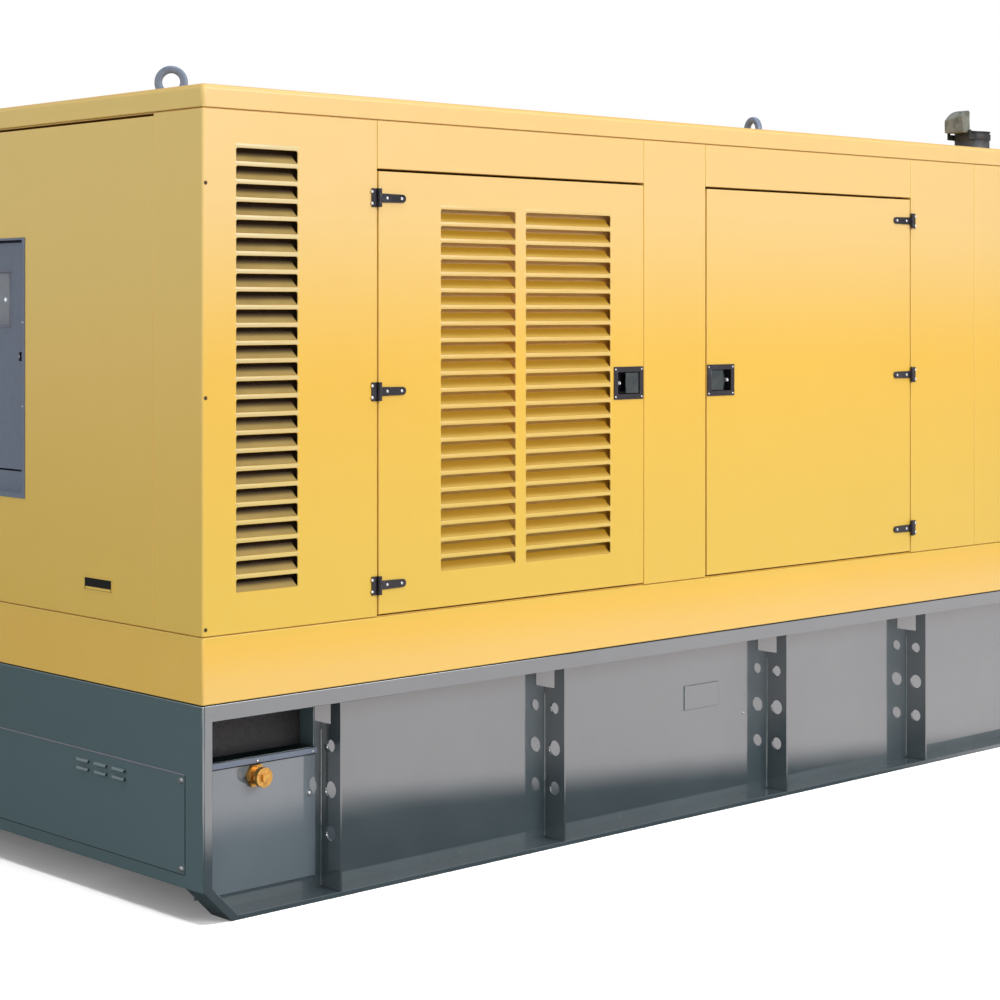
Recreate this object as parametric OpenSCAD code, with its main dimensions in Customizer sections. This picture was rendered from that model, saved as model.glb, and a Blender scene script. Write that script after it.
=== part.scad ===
// Canopied generator set: a steel base frame with a built-in fuel tank, and a
// lined sheet-metal canopy with hinged doors, louvres, control panel and exhaust.
// Frame: millimetres, +Z up, origin on the ground under the middle of the set.
// The control end faces -X, the radiator end +X, and the near side -Y.

/* [Overall] */
// Length over the end plates of the base
length = 5800; // [5400:50:6600]
// Width over the side panels
width = 2000; // [1800:50:2300]

/* [Base frame] */
// Height of the base frame
base_h = 640; // [560:10:720]
// Depth of the recess in the side rails
rail_recess = 95; // [70:5:120]
// Thickness of the side rail web
web_t = 8; // [5:1:12]
// Height of the top lip of a side rail
rail_top_lip = 48; // [36:1:56]
// Thickness of the bottom flange of a side rail
rail_bottom_t = 15; // [10:1:25]
// Width of the upright lip at each end of a side rail
rail_end_lip = 28; // [20:1:40]
// Height and length of the sloping cut at the rail's lower corners
skid_cut = 98; // [70:1:120]
// Thickness of the end plates and of the ribs
plate_t = 8; // [5:1:12]
// Place of each rib's far face along the rail, counted from the control end
rib_at = [520, 1480, 2630, 3480];
// Distance of the last two ribs from the radiator end
rib_from_end = [1420, 512];
// Diameter of the ribs' top, middle and bottom holes
rib_holes = [38, 52, 44];
// Distance of the middle hole in a rib below the top of the base
rib_hole_drop = 320; // [290:1:350]
// Upright spacing of the holes in a rib
rib_hole_pitch = 134; // [110:1:140]
// Depth of the notch at the top of a rib
rib_notch_h = 72; // [50:1:90]
// Height of the cable exit in the side rail
exit_h = 143; // [100:1:160]
// Length of the cable exit in the side rail
exit_w = 452; // [360:2:470]

/* [Cover plates on the base] */
// Thickness of the cover plates
cover_t = 4; // [3:1:6]
// Lower edge of the duct cover on an end plate
duct_z = 138; // [120:2:180]
// Height of the duct cover
duct_h = 292; // [250:2:340]
// Distance of the duct cover from the side of the base
duct_margin = 88; // [60:2:140]
// Width and height of one vent slot in the duct cover
vent = [86, 10];
// Distance between the centres of the vent slots
vent_pitch = [104, 25];
// Distance of the vent group's middle from the side of the base
vent_from_side = 535; // [400:5:620]
// Distance of the upper vent slots below the top of the cover
vent_drop = 39; // [30:1:60]
// Height of the folded edge of the cover under a cable exit
exit_edge_h = 24; // [16:1:30]
// Distance of the brass plug from the control end
plug_x = 256; // [150:2:360]
// Distance of the brass plug below the cable exit
plug_drop = 55; // [50:1:120]
// Diameter of the brass plug's hexagon across corners
plug_d = 74; // [50:1:80]

/* [Canopy walls] */
// Height of the plain skirt above the base
skirt_h = 200; // [150:5:250]
// Height of the wall panels
panel_h = 1540; // [1500:10:1700]
// Thickness of the lined wall panels and doors
panel_t = 45; // [40:1:60]
// Height of the roof tray at its edges
roof_h = 70; // [60:1:90]
// Rise of the roof from its long edges to its flat middle
roof_crown = 25; // [10:1:40]
// Width of the sloping strip along each long edge
crown_run = 300; // [200:10:400]
// Bevel on the roof's upper edges
roof_bevel = 15; // [5:1:25]
// Length of the louvred panels at the corners of the sides
corner_w = 660; // [600:5:720]
// Width of the door openings
door_w = 1200; // [1150:5:1250]
// Width of the post between the doors
mid_post_w = 318; // [260:2:400]
// Width of the post after the second door
end_side_post_w = 422; // [300:2:500]
// Height of the fixed panel over a door
header_h = 152; // [100:2:200]
// Width of the posts seen on the ends
end_post_w = 250; // [200:5:300]
// Width of the groove round the end panels
end_groove = 8; // [6:1:12]
// Depth of the groove round the end panels
end_groove_depth = 14; // [10:1:20]

/* [Louvres] */
// Upright distance from one louvre to the next
louvre_pitch = 52.8; // [48:0.1:60]
// Height of a louvre slot
slot_h = 40; // [34:1:42]
// Radius of a slot's upper corners
slot_r = 6; // [2:1:10]
// Thickness of the pressed sheet
sheet_t = 3; // [2:0.5:4]
// How far a blade leans into the panel
blade_run = 20; // [14:1:24]
// How far a blade rises
blade_rise = 26; // [18:1:30]
// Louvres in a corner panel
corner_louvres = 25; // [20:1:26]
// Louvres in one column of a door
door_louvres = 22; // [16:1:23]
// Width of the louvres in a corner panel
corner_louvre_w = 230; // [180:5:300]
// Distance of the corner louvres from the corner
corner_louvre_x = 120; // [100:2:200]
// Widths of the two louvre columns in a door
door_louvre_w = [328, 400];
// Distance of the first louvre column from the hinged edge
door_louvre_x = 262; // [200:2:290]
// Gap between the louvre columns in a door
door_louvre_gap = 45; // [30:1:60]
// Height of the lowest slot above the wall panel's foot
louvre_z = 128; // [100:1:150]
// Height of the lowest door slot above the wall panel's foot
door_louvre_z = 115; // [100:1:140]

/* [Doors] */
// Gap at the hinged edge of a door
gap_hinge = 5; // [5:0.5:8]
// Gap at the free edge of a door
gap_free = 7; // [7:0.5:10]
// Gap over and under a door
gap_end = 7; // [6:0.5:10]
// Height of a hinge leaf
leaf_h = 58; // [50:1:70]
// Width of a hinge leaf
leaf_w = 27; // [22:1:36]
// Height of a hinge strap
strap_h = 25; // [22:1:30]
// Length of a hinge strap
strap_l = 114; // [80:1:130]
// Thickness of leaves and straps
hinge_t = 4; // [3:0.5:5]
// Radius of a hinge knuckle
knuckle_r = 7; // [6:0.5:8]
// Radius of a hinge pin
pin_r = 3; // [2.5:0.5:4]
// Radial clearance round a pin
pin_clear = 0.3; // [0.2:0.1:0.6]
// Distance of the hinge axis from the panel's face
axis_out = 9; // [8:0.5:11]
// Heights of the hinges above the wall panel's foot
hinge_z = [98, 698, 1298];
// Width and height of a latch plate
latch = [144, 112];
// Thickness of the latch plate
latch_t = 3; // [2:0.5:5]
// Depth of the latch cup
latch_cup_d = 30; // [20:1:34]
// Rim of the latch plate round its cup
latch_rim = 15; // [12:1:20]
// Length of the paddle
paddle_l = 60; // [45:1:66]
// Height of a latch's centre above the wall panel's foot
latch_z = 700; // [600:5:800]

/* [Control panel] */
// Distance of the control panel's near edge before the middle of the end
control_near = 10; // [0:5:60]
// Distance between the control panel and the far end post
control_margin = 70; // [50:5:120]
// Height of the control panel's frame
control_h = 832; // [760:2:880]
// Height of the control panel's foot above the wall panel's foot
control_z = 340; // [250:5:420]
// Width of the frame's face
control_rim = 14; // [10:1:24]
// How far the door sits behind the frame's face
control_inset = 16; // [10:1:20]
// Depth of the control box
control_depth = 260; // [180:5:320]
// Thickness of the control door
control_door_t = 18; // [14:1:24]
// Height of the window in the control door
window_h = 180; // [120:5:220]
// Height of the fixed strip under the control door
control_strip = 92; // [60:2:140]
// Gap round the control door
control_gap = 6; // [5:0.5:8]
// Height of the window above the foot of the control panel
window_z = 545; // [500:5:560]
// Distance of the window from the panel's near and far edges
window_margin = [98, 150];
// Width and height of the slot in the end panel
pull_slot = [148, 36];
// Distance of that slot from the side of the set
pull_slot_y = 473; // [400:1:600]
// Height of that slot above the wall panel's foot
pull_slot_z = 88; // [70:1:120]

/* [Roof fittings] */
// Distance of the first lifting eye from the control end
eye_from_end = 585; // [400:5:640]
// Distance of the second lifting eye from the control end
eye_mid = 3600; // [3200:10:3800]
// Turn of each eye about its own axis
eye_turn = [47, -15];
// Outer radius of an eye
eye_ro = 59; // [50:1:62]
// Radius of the hole in an eye
eye_ri = 28; // [24:1:34]
// Thickness of an eye
eye_t = 26; // [18:1:30]
// Height of an eye's centre above its pad
eye_z = 66; // [64:1:76]
// Thickness of the pad under an eye
eye_pad = 22; // [10:1:30]
// Width of the pad under an eye
eye_pad_w = 150; // [120:5:200]
// Distance of the exhaust from the radiator end
exhaust_from_end = 600; // [500:10:900]
// Outer radius of the exhaust pipe
exhaust_r = 82; // [60:1:110]
// Height of the exhaust pipe above the roof
exhaust_h = 158; // [120:2:220]
// Wall of the exhaust pipe
exhaust_wall = 4; // [3:0.5:6]
// Distance of the rain cap's pivot from the pipe
cap_pivot = 20; // [18:1:30]
// Length, width and height of the rain cap's counterweight
weight = [60, 104, 106];

/* [Machinery] */
// Height of the rails that carry the machinery
bed_h = 160; // [120:5:220]
// Distance between the middles of the machinery rails
bed_gauge = 760; // [600:10:900]
// Width of a machinery rail
bed_w = 120; // [80:5:160]
// Distance of the alternator from the control end
alternator_from_end = 560; // [480:10:640]
// Radius of the alternator
alternator_r = 400; // [300:10:420]
// Length of the alternator
alternator_l = 1000; // [800:10:1150]
// Length, width and height of the engine over its rocker covers
engine = [1750, 760, 860];
// Height of the crankshaft above the machinery rails
crank_h = 360; // [300:10:420]
// Radius and length of the air cleaners
air_cleaner = [150, 520];
// Thickness, width and height of the radiator
radiator = [320, 1560, 1380];
// Distance of the radiator from the corner panels of the radiator end
radiator_gap = 260; // [200:10:320]
// Radius and length of the fan's shroud
shroud = [600, 120];

/* [Hidden] */
$fn = 48;

yellow = "#f2bf3d";
grey = "#6b757c";
light_grey = "#8b939c";
black = "#25262a";
steel = "#b9bcc0";

half_l = length / 2;
half_w = width / 2;
wall_z = base_h + skirt_h;
roof_z = wall_z + panel_h;
top_z = roof_z + roof_h + roof_crown;
rail_d = rail_recess + web_t;
control = [half_w - end_post_w - control_margin + control_near, control_h];
inner_w = width - 2 * rail_d;
header_z = panel_h - header_h;
joint = 0.3;
seat = 1;

// Starts of the openings along a side, from the control end
door1_x = corner_w;
mid_post_x = door1_x + door_w;
door2_x = mid_post_x + mid_post_w;
end_side_post_x = door2_x + door_w;
plain_x = end_side_post_x + end_side_post_w;
plain_w = length - corner_w - plain_x;

door_h = header_z - 2 * gap_end;
slab_w = door_w - gap_hinge - gap_free;
cap_pivot_x = -(exhaust_r + cap_pivot);
cap_pivot_z = exhaust_h + 3;

function along(a) = a - half_l;

// ---------- shared shapes ----------

// A box that starts at one corner.
module slab(size, at = [0, 0, 0]) {
  translate(at) cube(size);
}

// An outline in X and Z, pulled inwards from the near side's plane.
module from_side(depth, start = 0) {
  translate([0, start + depth - half_w, 0]) rotate([90, 0, 0]) linear_extrude(depth) children();
}

// Repeats what it is given on the far side too.
module both_sides() {
  children();
  mirror([0, 1, 0]) children();
}

// Repeats what it is given at the radiator end too.
module both_ends() {
  children();
  mirror([1, 0, 0]) children();
}

// One slot of a louvre, with rounded upper corners, in X and Z.
module slot_outline(w) {
  square([w, slot_h - slot_r]);
  translate([slot_r, 0]) square([w - 2 * slot_r, slot_h]);
  for (x = [slot_r, w - slot_r]) translate([x, slot_h - slot_r]) circle(r = slot_r, $fn = 24);
}

// A blade pressed inwards from a slot's lower edge; the sheet's face is at Y = 0.
module blade(w) {
  side_gap = 1.5;
  rotate([90, 0, 90])
    translate([0, 0, side_gap])
      linear_extrude(w - 2 * side_gap)
        polygon([[0.5, -sheet_t], [sheet_t, -sheet_t], [blade_run, blade_rise - sheet_t],
                 [blade_run - sheet_t * 0.8, blade_rise], [0.5, 0]]);
}

// A wall panel of width w and height h with louvre columns, given as [x, z, width, count].
// Its outer face is at Y = 0 and it goes inwards along +Y. Each column has a pocket behind
// its slots, which leaves a backing of the given thickness.
module louvred_panel(w, h, columns, backing) {
  margin = 8;
  difference() {
    cube([w, panel_t, h]);
    for (c = columns) {
      run = (c[3] - 1) * louvre_pitch + slot_h;
      translate([c[0] - margin, sheet_t, c[1] - margin])
        cube([c[2] + 2 * margin, panel_t - backing - sheet_t + (backing > 0 ? 0 : seat), run + 2 * margin]);
      for (i = [0 : c[3] - 1])
        translate([c[0], sheet_t + seat, c[1] + i * louvre_pitch])
          rotate([90, 0, 0]) linear_extrude(sheet_t + 2 * seat) slot_outline(c[2]);
    }
  }
  for (c = columns, i = [0 : c[3] - 1])
    translate([c[0], 0, c[1] + i * louvre_pitch]) blade(c[2]);
}

// ---------- base frame ----------

// Outline of a side rail between the end plates, taken in by the given margins.
module rail_outline(side, bottom, top) {
  a = half_l - plate_t - side;
  cut = skid_cut - bottom * 0.4;
  polygon([[-a, bottom + cut], [-a + cut, bottom], [a - cut, bottom], [a, bottom + cut],
           [a, base_h - top], [-a, base_h - top]]);
}

module side_rail() {
  color(grey) difference() {
    from_side(rail_d) rail_outline(0, 0, 0);
    from_side(rail_recess + seat, -seat) rail_outline(rail_end_lip, rail_bottom_t, rail_top_lip);
    for (s = [-1, 1])
      translate([s * (half_l - plate_t - rail_end_lip - exit_w / 2), -half_w + rail_d / 2, exit_z()])
        cube([exit_w, 2 * rail_d, exit_h], center = true);
  }
}

function exit_z() = base_h - rail_top_lip - exit_h / 2;

function rib_places() = concat(rib_at, [for (r = rib_from_end) length - r]);

// One rib: an upright plate with three holes and a notch at the top next to the web.
module rib() {
  z0 = rail_bottom_t;
  h = base_h - rail_top_lip - z0;
  difference() {
    translate([-plate_t, -half_w, z0]) cube([plate_t, rail_recess, h]);
    translate([-plate_t - seat, -half_w + rail_recess / 2, base_h - rail_top_lip - rib_notch_h])
      cube([plate_t + 2 * seat, rail_recess, rib_notch_h + seat]);
    for (i = [0 : 2])
      translate([-plate_t - seat, -half_w + rail_recess / 2, base_h - rib_hole_drop + (1 - i) * rib_hole_pitch])
        rotate([0, 90, 0]) cylinder(r = rib_holes[i] / 2, h = plate_t + 2 * seat);
  }
}

module side_ribs() {
  color(grey) both_sides() for (a = rib_places()) translate([along(a), 0, 0]) rib();
}

module end_plates() {
  color(grey) both_ends()
    slab([plate_t, width, base_h - skid_cut], [-half_l, -half_w, skid_cut]);
}

module deck() {
  color(grey)
    slab([length - 2 * plate_t, inner_w, rail_top_lip], [-half_l + plate_t, -inner_w / 2, base_h - rail_top_lip]);
}

// Length of the cable compartment at each end of the tank
function bay_l() = rib_at[0] - plate_t;

module fuel_tank() {
  z0 = skid_cut / 2;
  color(grey)
    slab([length - 2 * (bay_l() + plate_t), inner_w, base_h - rail_top_lip - z0],
         [-half_l + plate_t + bay_l(), -inner_w / 2, z0]);
}

// Duct cover on an end plate, with two groups of vent slots and its corner bolts.
module duct_covers() {
  w = width - 2 * duct_margin;
  bolt_in = 14;
  color(grey) both_ends() {
    difference() {
      slab([cover_t, w, duct_h], [-half_l - cover_t, -w / 2, duct_z]);
      for (s = [-1, 1], i = [-1 : 1], k = [0, 1])
        translate([-half_l - cover_t / 2,
                   s * (half_w - vent_from_side) + i * vent_pitch[0],
                   duct_z + duct_h - vent_drop - k * vent_pitch[1]])
          cube([2 * cover_t, vent[0], vent[1]], center = true);
    }
    for (y = [-w / 2 + bolt_in, w / 2 - bolt_in], z = [duct_z + bolt_in, duct_z + duct_h - bolt_in])
      translate([-half_l - cover_t, y, z]) rotate([0, -90, 0]) cylinder(r = 8, h = 6);
  }
}

// Cover under a cable exit: a plate on the web with a folded upper edge.
module exit_covers() {
  x0 = plate_t + rail_end_lip;
  z0 = rail_bottom_t + skid_cut;
  z1 = exit_z() - exit_h / 2;
  edge_d = 14;
  gap = 6;
  color(light_grey) both_sides() both_ends() {
    slab([exit_w, cover_t, z1 - z0], [-half_l + x0, -half_w + rail_recess - cover_t, z0]);
    slab([exit_w, edge_d, exit_edge_h - gap],
         [-half_l + x0, -half_w + rail_recess - edge_d, z1 - exit_edge_h + gap]);
  }
}

// Brass plug on the near cover: a hexagon, a neck with two lugs and a smaller cap.
module drain_plug() {
  plug_z = exit_z() - exit_h / 2 - plug_drop;
  hex_t = 12;
  neck = 20;
  cap_t = 18;
  color("#c8963c")
    translate([along(plug_x), -half_w + rail_recess - cover_t, plug_z]) rotate([90, 0, 0]) {
      cylinder(r = plug_d / 2, h = hex_t, $fn = 6);
      cylinder(r = plug_d * 0.34, h = hex_t + neck);
      for (s = [-1, 1]) translate([s * plug_d * 0.42 - 6, -9, hex_t]) cube([12, 18, neck * 0.7]);
      translate([0, 0, hex_t + neck]) cylinder(r = plug_d * 0.4, h = cap_t);
      translate([0, 0, hex_t + neck + cap_t / 2]) cube([22, 22, cap_t + 16], center = true);
    }
}

// ---------- canopy ----------

module skirt_sides() {
  color(yellow) both_sides() slab([length, panel_t, skirt_h], [-half_l, -half_w, base_h]);
}

module skirt_ends() {
  color(yellow) both_ends()
    slab([panel_t, width - 2 * panel_t, skirt_h], [-half_l, -half_w + panel_t, base_h]);
}

// The two louvred corner panels of the near side.
module louvre_panels() {
  color(yellow) translate([0, -half_w, wall_z]) both_ends() translate([-half_l, 0, 0])
    louvred_panel(corner_w, panel_h, [[corner_louvre_x, louvre_z, corner_louvre_w, corner_louvres]], 0);
}

module end_posts() {
  color(yellow) both_sides() both_ends()
    slab([panel_t, end_post_w - panel_t, panel_h], [-half_l, -half_w + panel_t, wall_z]);
}

module door_headers() {
  color(yellow) both_sides() for (x = [door1_x, door2_x])
    slab([door_w, panel_t, header_h], [along(x), -half_w, wall_z + header_z]);
}

module side_posts() {
  color(yellow) both_sides() {
    slab([mid_post_w, panel_t, panel_h], [along(mid_post_x), -half_w, wall_z]);
    slab([end_side_post_w, panel_t, panel_h], [along(end_side_post_x), -half_w, wall_z]);
  }
}

module side_panels() {
  color(yellow) both_sides() slab([plain_w, panel_t, panel_h], [along(plain_x), -half_w, wall_z]);
}

// An end panel: the back fills the space between the posts, and the face stands
// inside a groove. Its outer face is at X = 0 and it goes inwards along +X.
module end_slab() {
  w = width - 2 * end_post_w;
  slab([panel_t - end_groove_depth, w, panel_h], [end_groove_depth, -w / 2, 0]);
  slab([end_groove_depth + seat, w - seat, panel_h - 2 * end_groove],
       [0, -(w - seat) / 2, end_groove]);
}

module control_end_panel() {
  color(yellow) translate([-half_l, 0, wall_z]) difference() {
    end_slab();
    translate([-seat, -control_near, control_z])
      cube([panel_t + 2 * seat, control[0], control[1]]);
    translate([-seat, -half_w + pull_slot_y, pull_slot_z])
      cube([panel_t + 2 * seat, pull_slot[0], pull_slot[1]]);
  }
}

// The radiator end has the same panel with three columns of louvres.
module radiator_end_panel() {
  w = width - 2 * end_post_w;
  n = 3;
  col = (w - (n + 1) * 60) / n;
  margin = 8;
  run = (corner_louvres - 1) * louvre_pitch + slot_h;
  columns = [for (i = [0 : n - 1]) -w / 2 + 60 + i * (col + 60)];
  color(yellow) translate([half_l, 0, wall_z]) mirror([1, 0, 0]) {
    difference() {
      end_slab();
      for (y = columns) {
        translate([sheet_t, y - margin, louvre_z - margin])
          cube([panel_t, col + 2 * margin, run + 2 * margin]);
        for (i = [0 : corner_louvres - 1])
          translate([-seat, y, louvre_z + i * louvre_pitch])
            rotate([90, 0, 90]) linear_extrude(sheet_t + 2 * seat) slot_outline(col);
      }
    }
    for (y = columns, i = [0 : corner_louvres - 1])
      translate([0, y + col, louvre_z + i * louvre_pitch]) rotate([0, 0, -90]) blade(col);
  }
}

// Roof tray with bevelled edges and a flat middle a little above its long edges:
// the crossing of its outline across the set and its outline along the set.
module roof_across() {
  w = half_w;
  h = roof_h;
  b = roof_bevel;
  flat = half_w - crown_run;
  polygon([[-w, 0], [w, 0], [w, h - b], [w - b, h], [flat, h + roof_crown],
           [-flat, h + roof_crown], [-w + b, h], [-w, h - b]]);
}

module roof_along() {
  l = half_l;
  h = roof_h + roof_crown;
  b = roof_bevel;
  polygon([[-l, 0], [l, 0], [l, h - b], [l - b, h], [-l + b, h], [-l, h - b]]);
}

module roof() {
  color(yellow) translate([0, 0, roof_z]) intersection() {
    translate([0, half_w, 0]) rotate([90, 0, 0]) linear_extrude(width) roof_along();
    translate([-half_l, 0, 0]) rotate([90, 0, 90]) linear_extrude(length) roof_across();
  }
}

// ---------- roof fittings ----------

// A forged eye: a drilled ring on a neck, a collar and a square pad.
module lifting_eye() {
  collar = 10;
  centre = eye_pad + eye_z;
  difference() {
    union() {
      translate([0, 0, centre]) rotate([0, -90, 0]) cylinder(r = eye_ro, h = eye_t, center = true);
      cylinder(r = eye_ro * 0.75, h = eye_pad + collar);
      cylinder(r = eye_t * 0.8, h = centre - (eye_ri + eye_ro) / 2);
    }
    translate([0, 0, centre]) rotate([0, -90, 0]) cylinder(r = eye_ri, h = 2 * eye_t, center = true);
  }
}

module lifting_eyes() {
  places = [eye_from_end, eye_mid];
  color(light_grey) for (i = [0, 1]) translate([along(places[i]), 0, top_z]) {
    rotate([0, 0, eye_turn[i]]) lifting_eye();
    translate([-eye_pad_w / 2, -eye_pad_w / 2, 0]) cube([eye_pad_w, eye_pad_w, eye_pad]);
  }
}

module at_exhaust() {
  translate([half_l - exhaust_from_end, 0, top_z]) children();
}

// The pipe, its roof flange, and a clamp with two lugs that hold the rain cap's pin.
module exhaust_pipe() {
  lug_t = 6;
  lug_y = weight[1] / 2 + 6;
  clamp_h = 26;
  clamp_t = 5;
  lug_z = exhaust_h - clamp_h - 8;
  color(steel) at_exhaust() {
    difference() {
      union() {
        cylinder(r = exhaust_r, h = exhaust_h);
        cylinder(r = exhaust_r + 45, h = 8);
        translate([0, 0, lug_z]) cylinder(r = exhaust_r + clamp_t, h = clamp_h);
      }
      translate([0, 0, -seat]) cylinder(r = exhaust_r - exhaust_wall, h = exhaust_h + 2 * seat);
    }
    for (s = [-1, 1]) translate([0, s * (lug_y + lug_t / 2) - lug_t / 2, 0]) {
      translate([cap_pivot_x, 0, lug_z]) cube([-cap_pivot_x - exhaust_r * 0.72, lug_t, clamp_h]);
      translate([cap_pivot_x - 8, 0, lug_z]) cube([16, lug_t, cap_pivot_z - lug_z]);
      translate([cap_pivot_x, 0, cap_pivot_z]) rotate([-90, 0, 0]) cylinder(r = 8, h = lug_t);
    }
    translate([cap_pivot_x, -lug_y - lug_t, cap_pivot_z]) rotate([-90, 0, 0])
      cylinder(r = pin_r, h = 2 * (lug_y + lug_t));
  }
}

// Lid of the rain cap with the arm that runs to the counterweight.
module rain_cap_lid() {
  arm_w = 46;
  lid_t = 5;
  color(steel) at_exhaust() {
    translate([0, 0, exhaust_h + joint]) cylinder(r = exhaust_r + 4, h = lid_t);
    translate([cap_pivot_x + 12, -arm_w / 2, exhaust_h + joint + lid_t])
      cube([exhaust_r + 50, arm_w, 6]);
  }
}

// Cast counterweight, with a sloping top, that turns on the pivot pin.
module rain_cap_weight() {
  foot = 7;
  right = 12;
  left = right - weight[0];
  color("#8a8780") at_exhaust() translate([cap_pivot_x, 0, cap_pivot_z]) difference() {
    translate([0, weight[1] / 2, 0]) rotate([90, 0, 0]) linear_extrude(weight[1])
      polygon([[left, -foot], [right, -foot], [right, weight[2] - foot - 10],
               [right - 8, weight[2] - foot], [left + 22, weight[2] - foot - 3],
               [left, weight[2] - foot - 24]]);
    translate([0, weight[1], 0]) rotate([90, 0, 0]) cylinder(r = pin_r + pin_clear, h = 2 * weight[1]);
  }
}

// ---------- doors of the near side ----------

// The first door, seen from outside with its hinges on the left.
module intake_door() {
  color(yellow) translate([along(door1_x) + gap_hinge, -half_w, wall_z + gap_end]) difference() {
    louvred_panel(slab_w, door_h, [
      [door_louvre_x - gap_hinge, door_louvre_z - gap_end, door_louvre_w[0], door_louvres],
      [door_louvre_x - gap_hinge + door_louvre_w[0] + door_louvre_gap, door_louvre_z - gap_end,
       door_louvre_w[1], door_louvres]], 10);
    translate([slab_w - latch[0], 0, 0]) latch_hole();
  }
}

// The second door is plain and has its hinges on the right.
module service_door() {
  color(yellow) translate([along(door2_x) + gap_free, -half_w, wall_z + gap_end]) difference() {
    cube([slab_w, panel_t, door_h]);
    latch_hole();
  }
}

// Pocket that takes a latch cup, for a latch plate that starts at X = 0.
module latch_hole() {
  clear = 1;
  translate([latch_rim - clear, -seat, latch_z - gap_end - latch[1] / 2 + latch_rim - clear])
    cube([latch[0] - 2 * latch_rim + 2 * clear, latch_cup_d + 2 * seat,
          latch[1] - 2 * latch_rim + 2 * clear]);
}

// A fixed hinge leaf: a screwed plate, two knuckles and the pin. The axis is at X = 0.
module hinge_leaf() {
  end_h = (leaf_h - strap_h) / 2 - joint;
  translate([-leaf_w, -hinge_t, -leaf_h / 2]) cube([leaf_w - knuckle_r + 2, hinge_t, leaf_h]);
  for (z = [-leaf_h / 2, leaf_h / 2 - end_h]) {
    translate([0, -axis_out, z]) cylinder(r = knuckle_r, h = end_h);
    translate([-knuckle_r - 1, -axis_out, z]) cube([knuckle_r + 1, axis_out - joint, end_h]);
  }
  translate([0, -axis_out, -leaf_h / 2]) cylinder(r = pin_r, h = leaf_h);
}

// A strap on the door: a knuckle with a bore and a tapering plate.
module hinge_strap() {
  tip_h = strap_h * 0.7;
  difference() {
    union() {
      translate([0, -axis_out, -strap_h / 2]) cylinder(r = knuckle_r, h = strap_h);
      translate([knuckle_r - 3, -axis_out, -strap_h / 2]) cube([8, axis_out, strap_h]);
      rotate([90, 0, 0]) linear_extrude(hinge_t)
        polygon([[knuckle_r, -strap_h / 2], [strap_l, -tip_h / 2], [strap_l, tip_h / 2], [knuckle_r, strap_h / 2]]);
    }
    translate([0, -axis_out, -strap_h]) cylinder(r = pin_r + pin_clear, h = 2 * strap_h);
  }
}

// Places what it is given at each hinge; hand is 1 where the door runs to the right of its axis.
module at_hinges(x, hand) {
  for (z = hinge_z) translate([x, -half_w, wall_z + z])
    if (hand > 0) children(); else mirror([1, 0, 0]) children();
}

function intake_axis() = along(door1_x) + gap_hinge / 2;
function service_axis() = along(door2_x + door_w) - gap_hinge / 2;

module hinge_leaves() {
  color(black) {
    at_hinges(intake_axis(), 1) hinge_leaf();
    at_hinges(service_axis(), -1) hinge_leaf();
  }
}

module intake_door_straps() {
  color(black) at_hinges(intake_axis(), 1) hinge_strap();
}

module service_door_straps() {
  color(black) at_hinges(service_axis(), -1) hinge_strap();
}

// Pivot of a paddle, counted from the latch plate's outer edge
function paddle_pivot() = latch_rim + 10;

// A latch: plate, cup and paddle pin. The plate runs from X = 0, and the pivot is near X = 0.
module latch_body() {
  wall = 3;
  h = latch[1] - 2 * latch_rim;
  w = latch[0] - 2 * latch_rim;
  difference() {
    union() {
      translate([0, -latch_t, -latch[1] / 2]) cube([latch[0], latch_t, latch[1]]);
      translate([latch_rim, -latch_t, -h / 2]) cube([w, latch_cup_d + latch_t, h]);
    }
    translate([latch_rim + wall, -latch_t - seat, -h / 2 + wall])
      cube([w - 2 * wall, latch_cup_d + latch_t - wall + seat, h - 2 * wall]);
  }
  translate([paddle_pivot(), 4, -h / 2 + wall - seat]) cylinder(r = pin_r, h = h - 2 * wall + 2 * seat);
  translate([latch[0] - latch_rim - 18, latch_cup_d - wall + seat, 0]) rotate([90, 0, 0]) cylinder(r = 9, h = 16);
}

// The paddle: a plate with a barrel round the pin.
module paddle_body() {
  h = latch[1] - 2 * latch_rim - 2 * 3 - 2 * 3;
  difference() {
    union() {
      translate([paddle_pivot(), 4, -h / 2]) cylinder(r = 5.5, h = h);
      translate([paddle_pivot(), -1.5, -h / 2]) cube([paddle_l, 5.5, h]);
    }
    translate([paddle_pivot(), 4, -h]) cylinder(r = pin_r + pin_clear, h = 2 * h);
  }
}

// Places a latch part on a door; the intake latch is mirrored so that its pivot is at the free edge.
module at_intake_latch() {
  translate([along(door1_x + door_w) - gap_free, -half_w, wall_z + latch_z]) mirror([1, 0, 0]) children();
}

module at_service_latch() {
  translate([along(door2_x) + gap_free, -half_w, wall_z + latch_z]) children();
}

module intake_latch() { color(black) at_intake_latch() latch_body(); }
module intake_paddle() { color(black) at_intake_latch() paddle_body(); }
module service_latch() { color(black) at_service_latch() latch_body(); }
module service_paddle() { color(black) at_service_latch() paddle_body(); }

// The far side repeats the doors, shut.
module far_intake_door() { mirror([0, 1, 0]) intake_door(); }
module far_service_door() { mirror([0, 1, 0]) service_door(); }

module far_door_fittings() {
  color(black) mirror([0, 1, 0]) {
    at_hinges(intake_axis(), 1) { hinge_leaf(); hinge_strap(); }
    at_hinges(service_axis(), -1) { hinge_leaf(); hinge_strap(); }
    at_intake_latch() { latch_body(); paddle_body(); }
    at_service_latch() { latch_body(); paddle_body(); }
  }
}

// ---------- control panel ----------

module at_control() {
  translate([-half_l, -control_near, wall_z + control_z]) children();
}

// Foot and top of the control door's opening, above the panel's foot
function control_low() = control_rim + control_strip;
function control_high() = control[1] - control_rim;
function window_w() = control[0] - window_margin[0] - window_margin[1];

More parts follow.
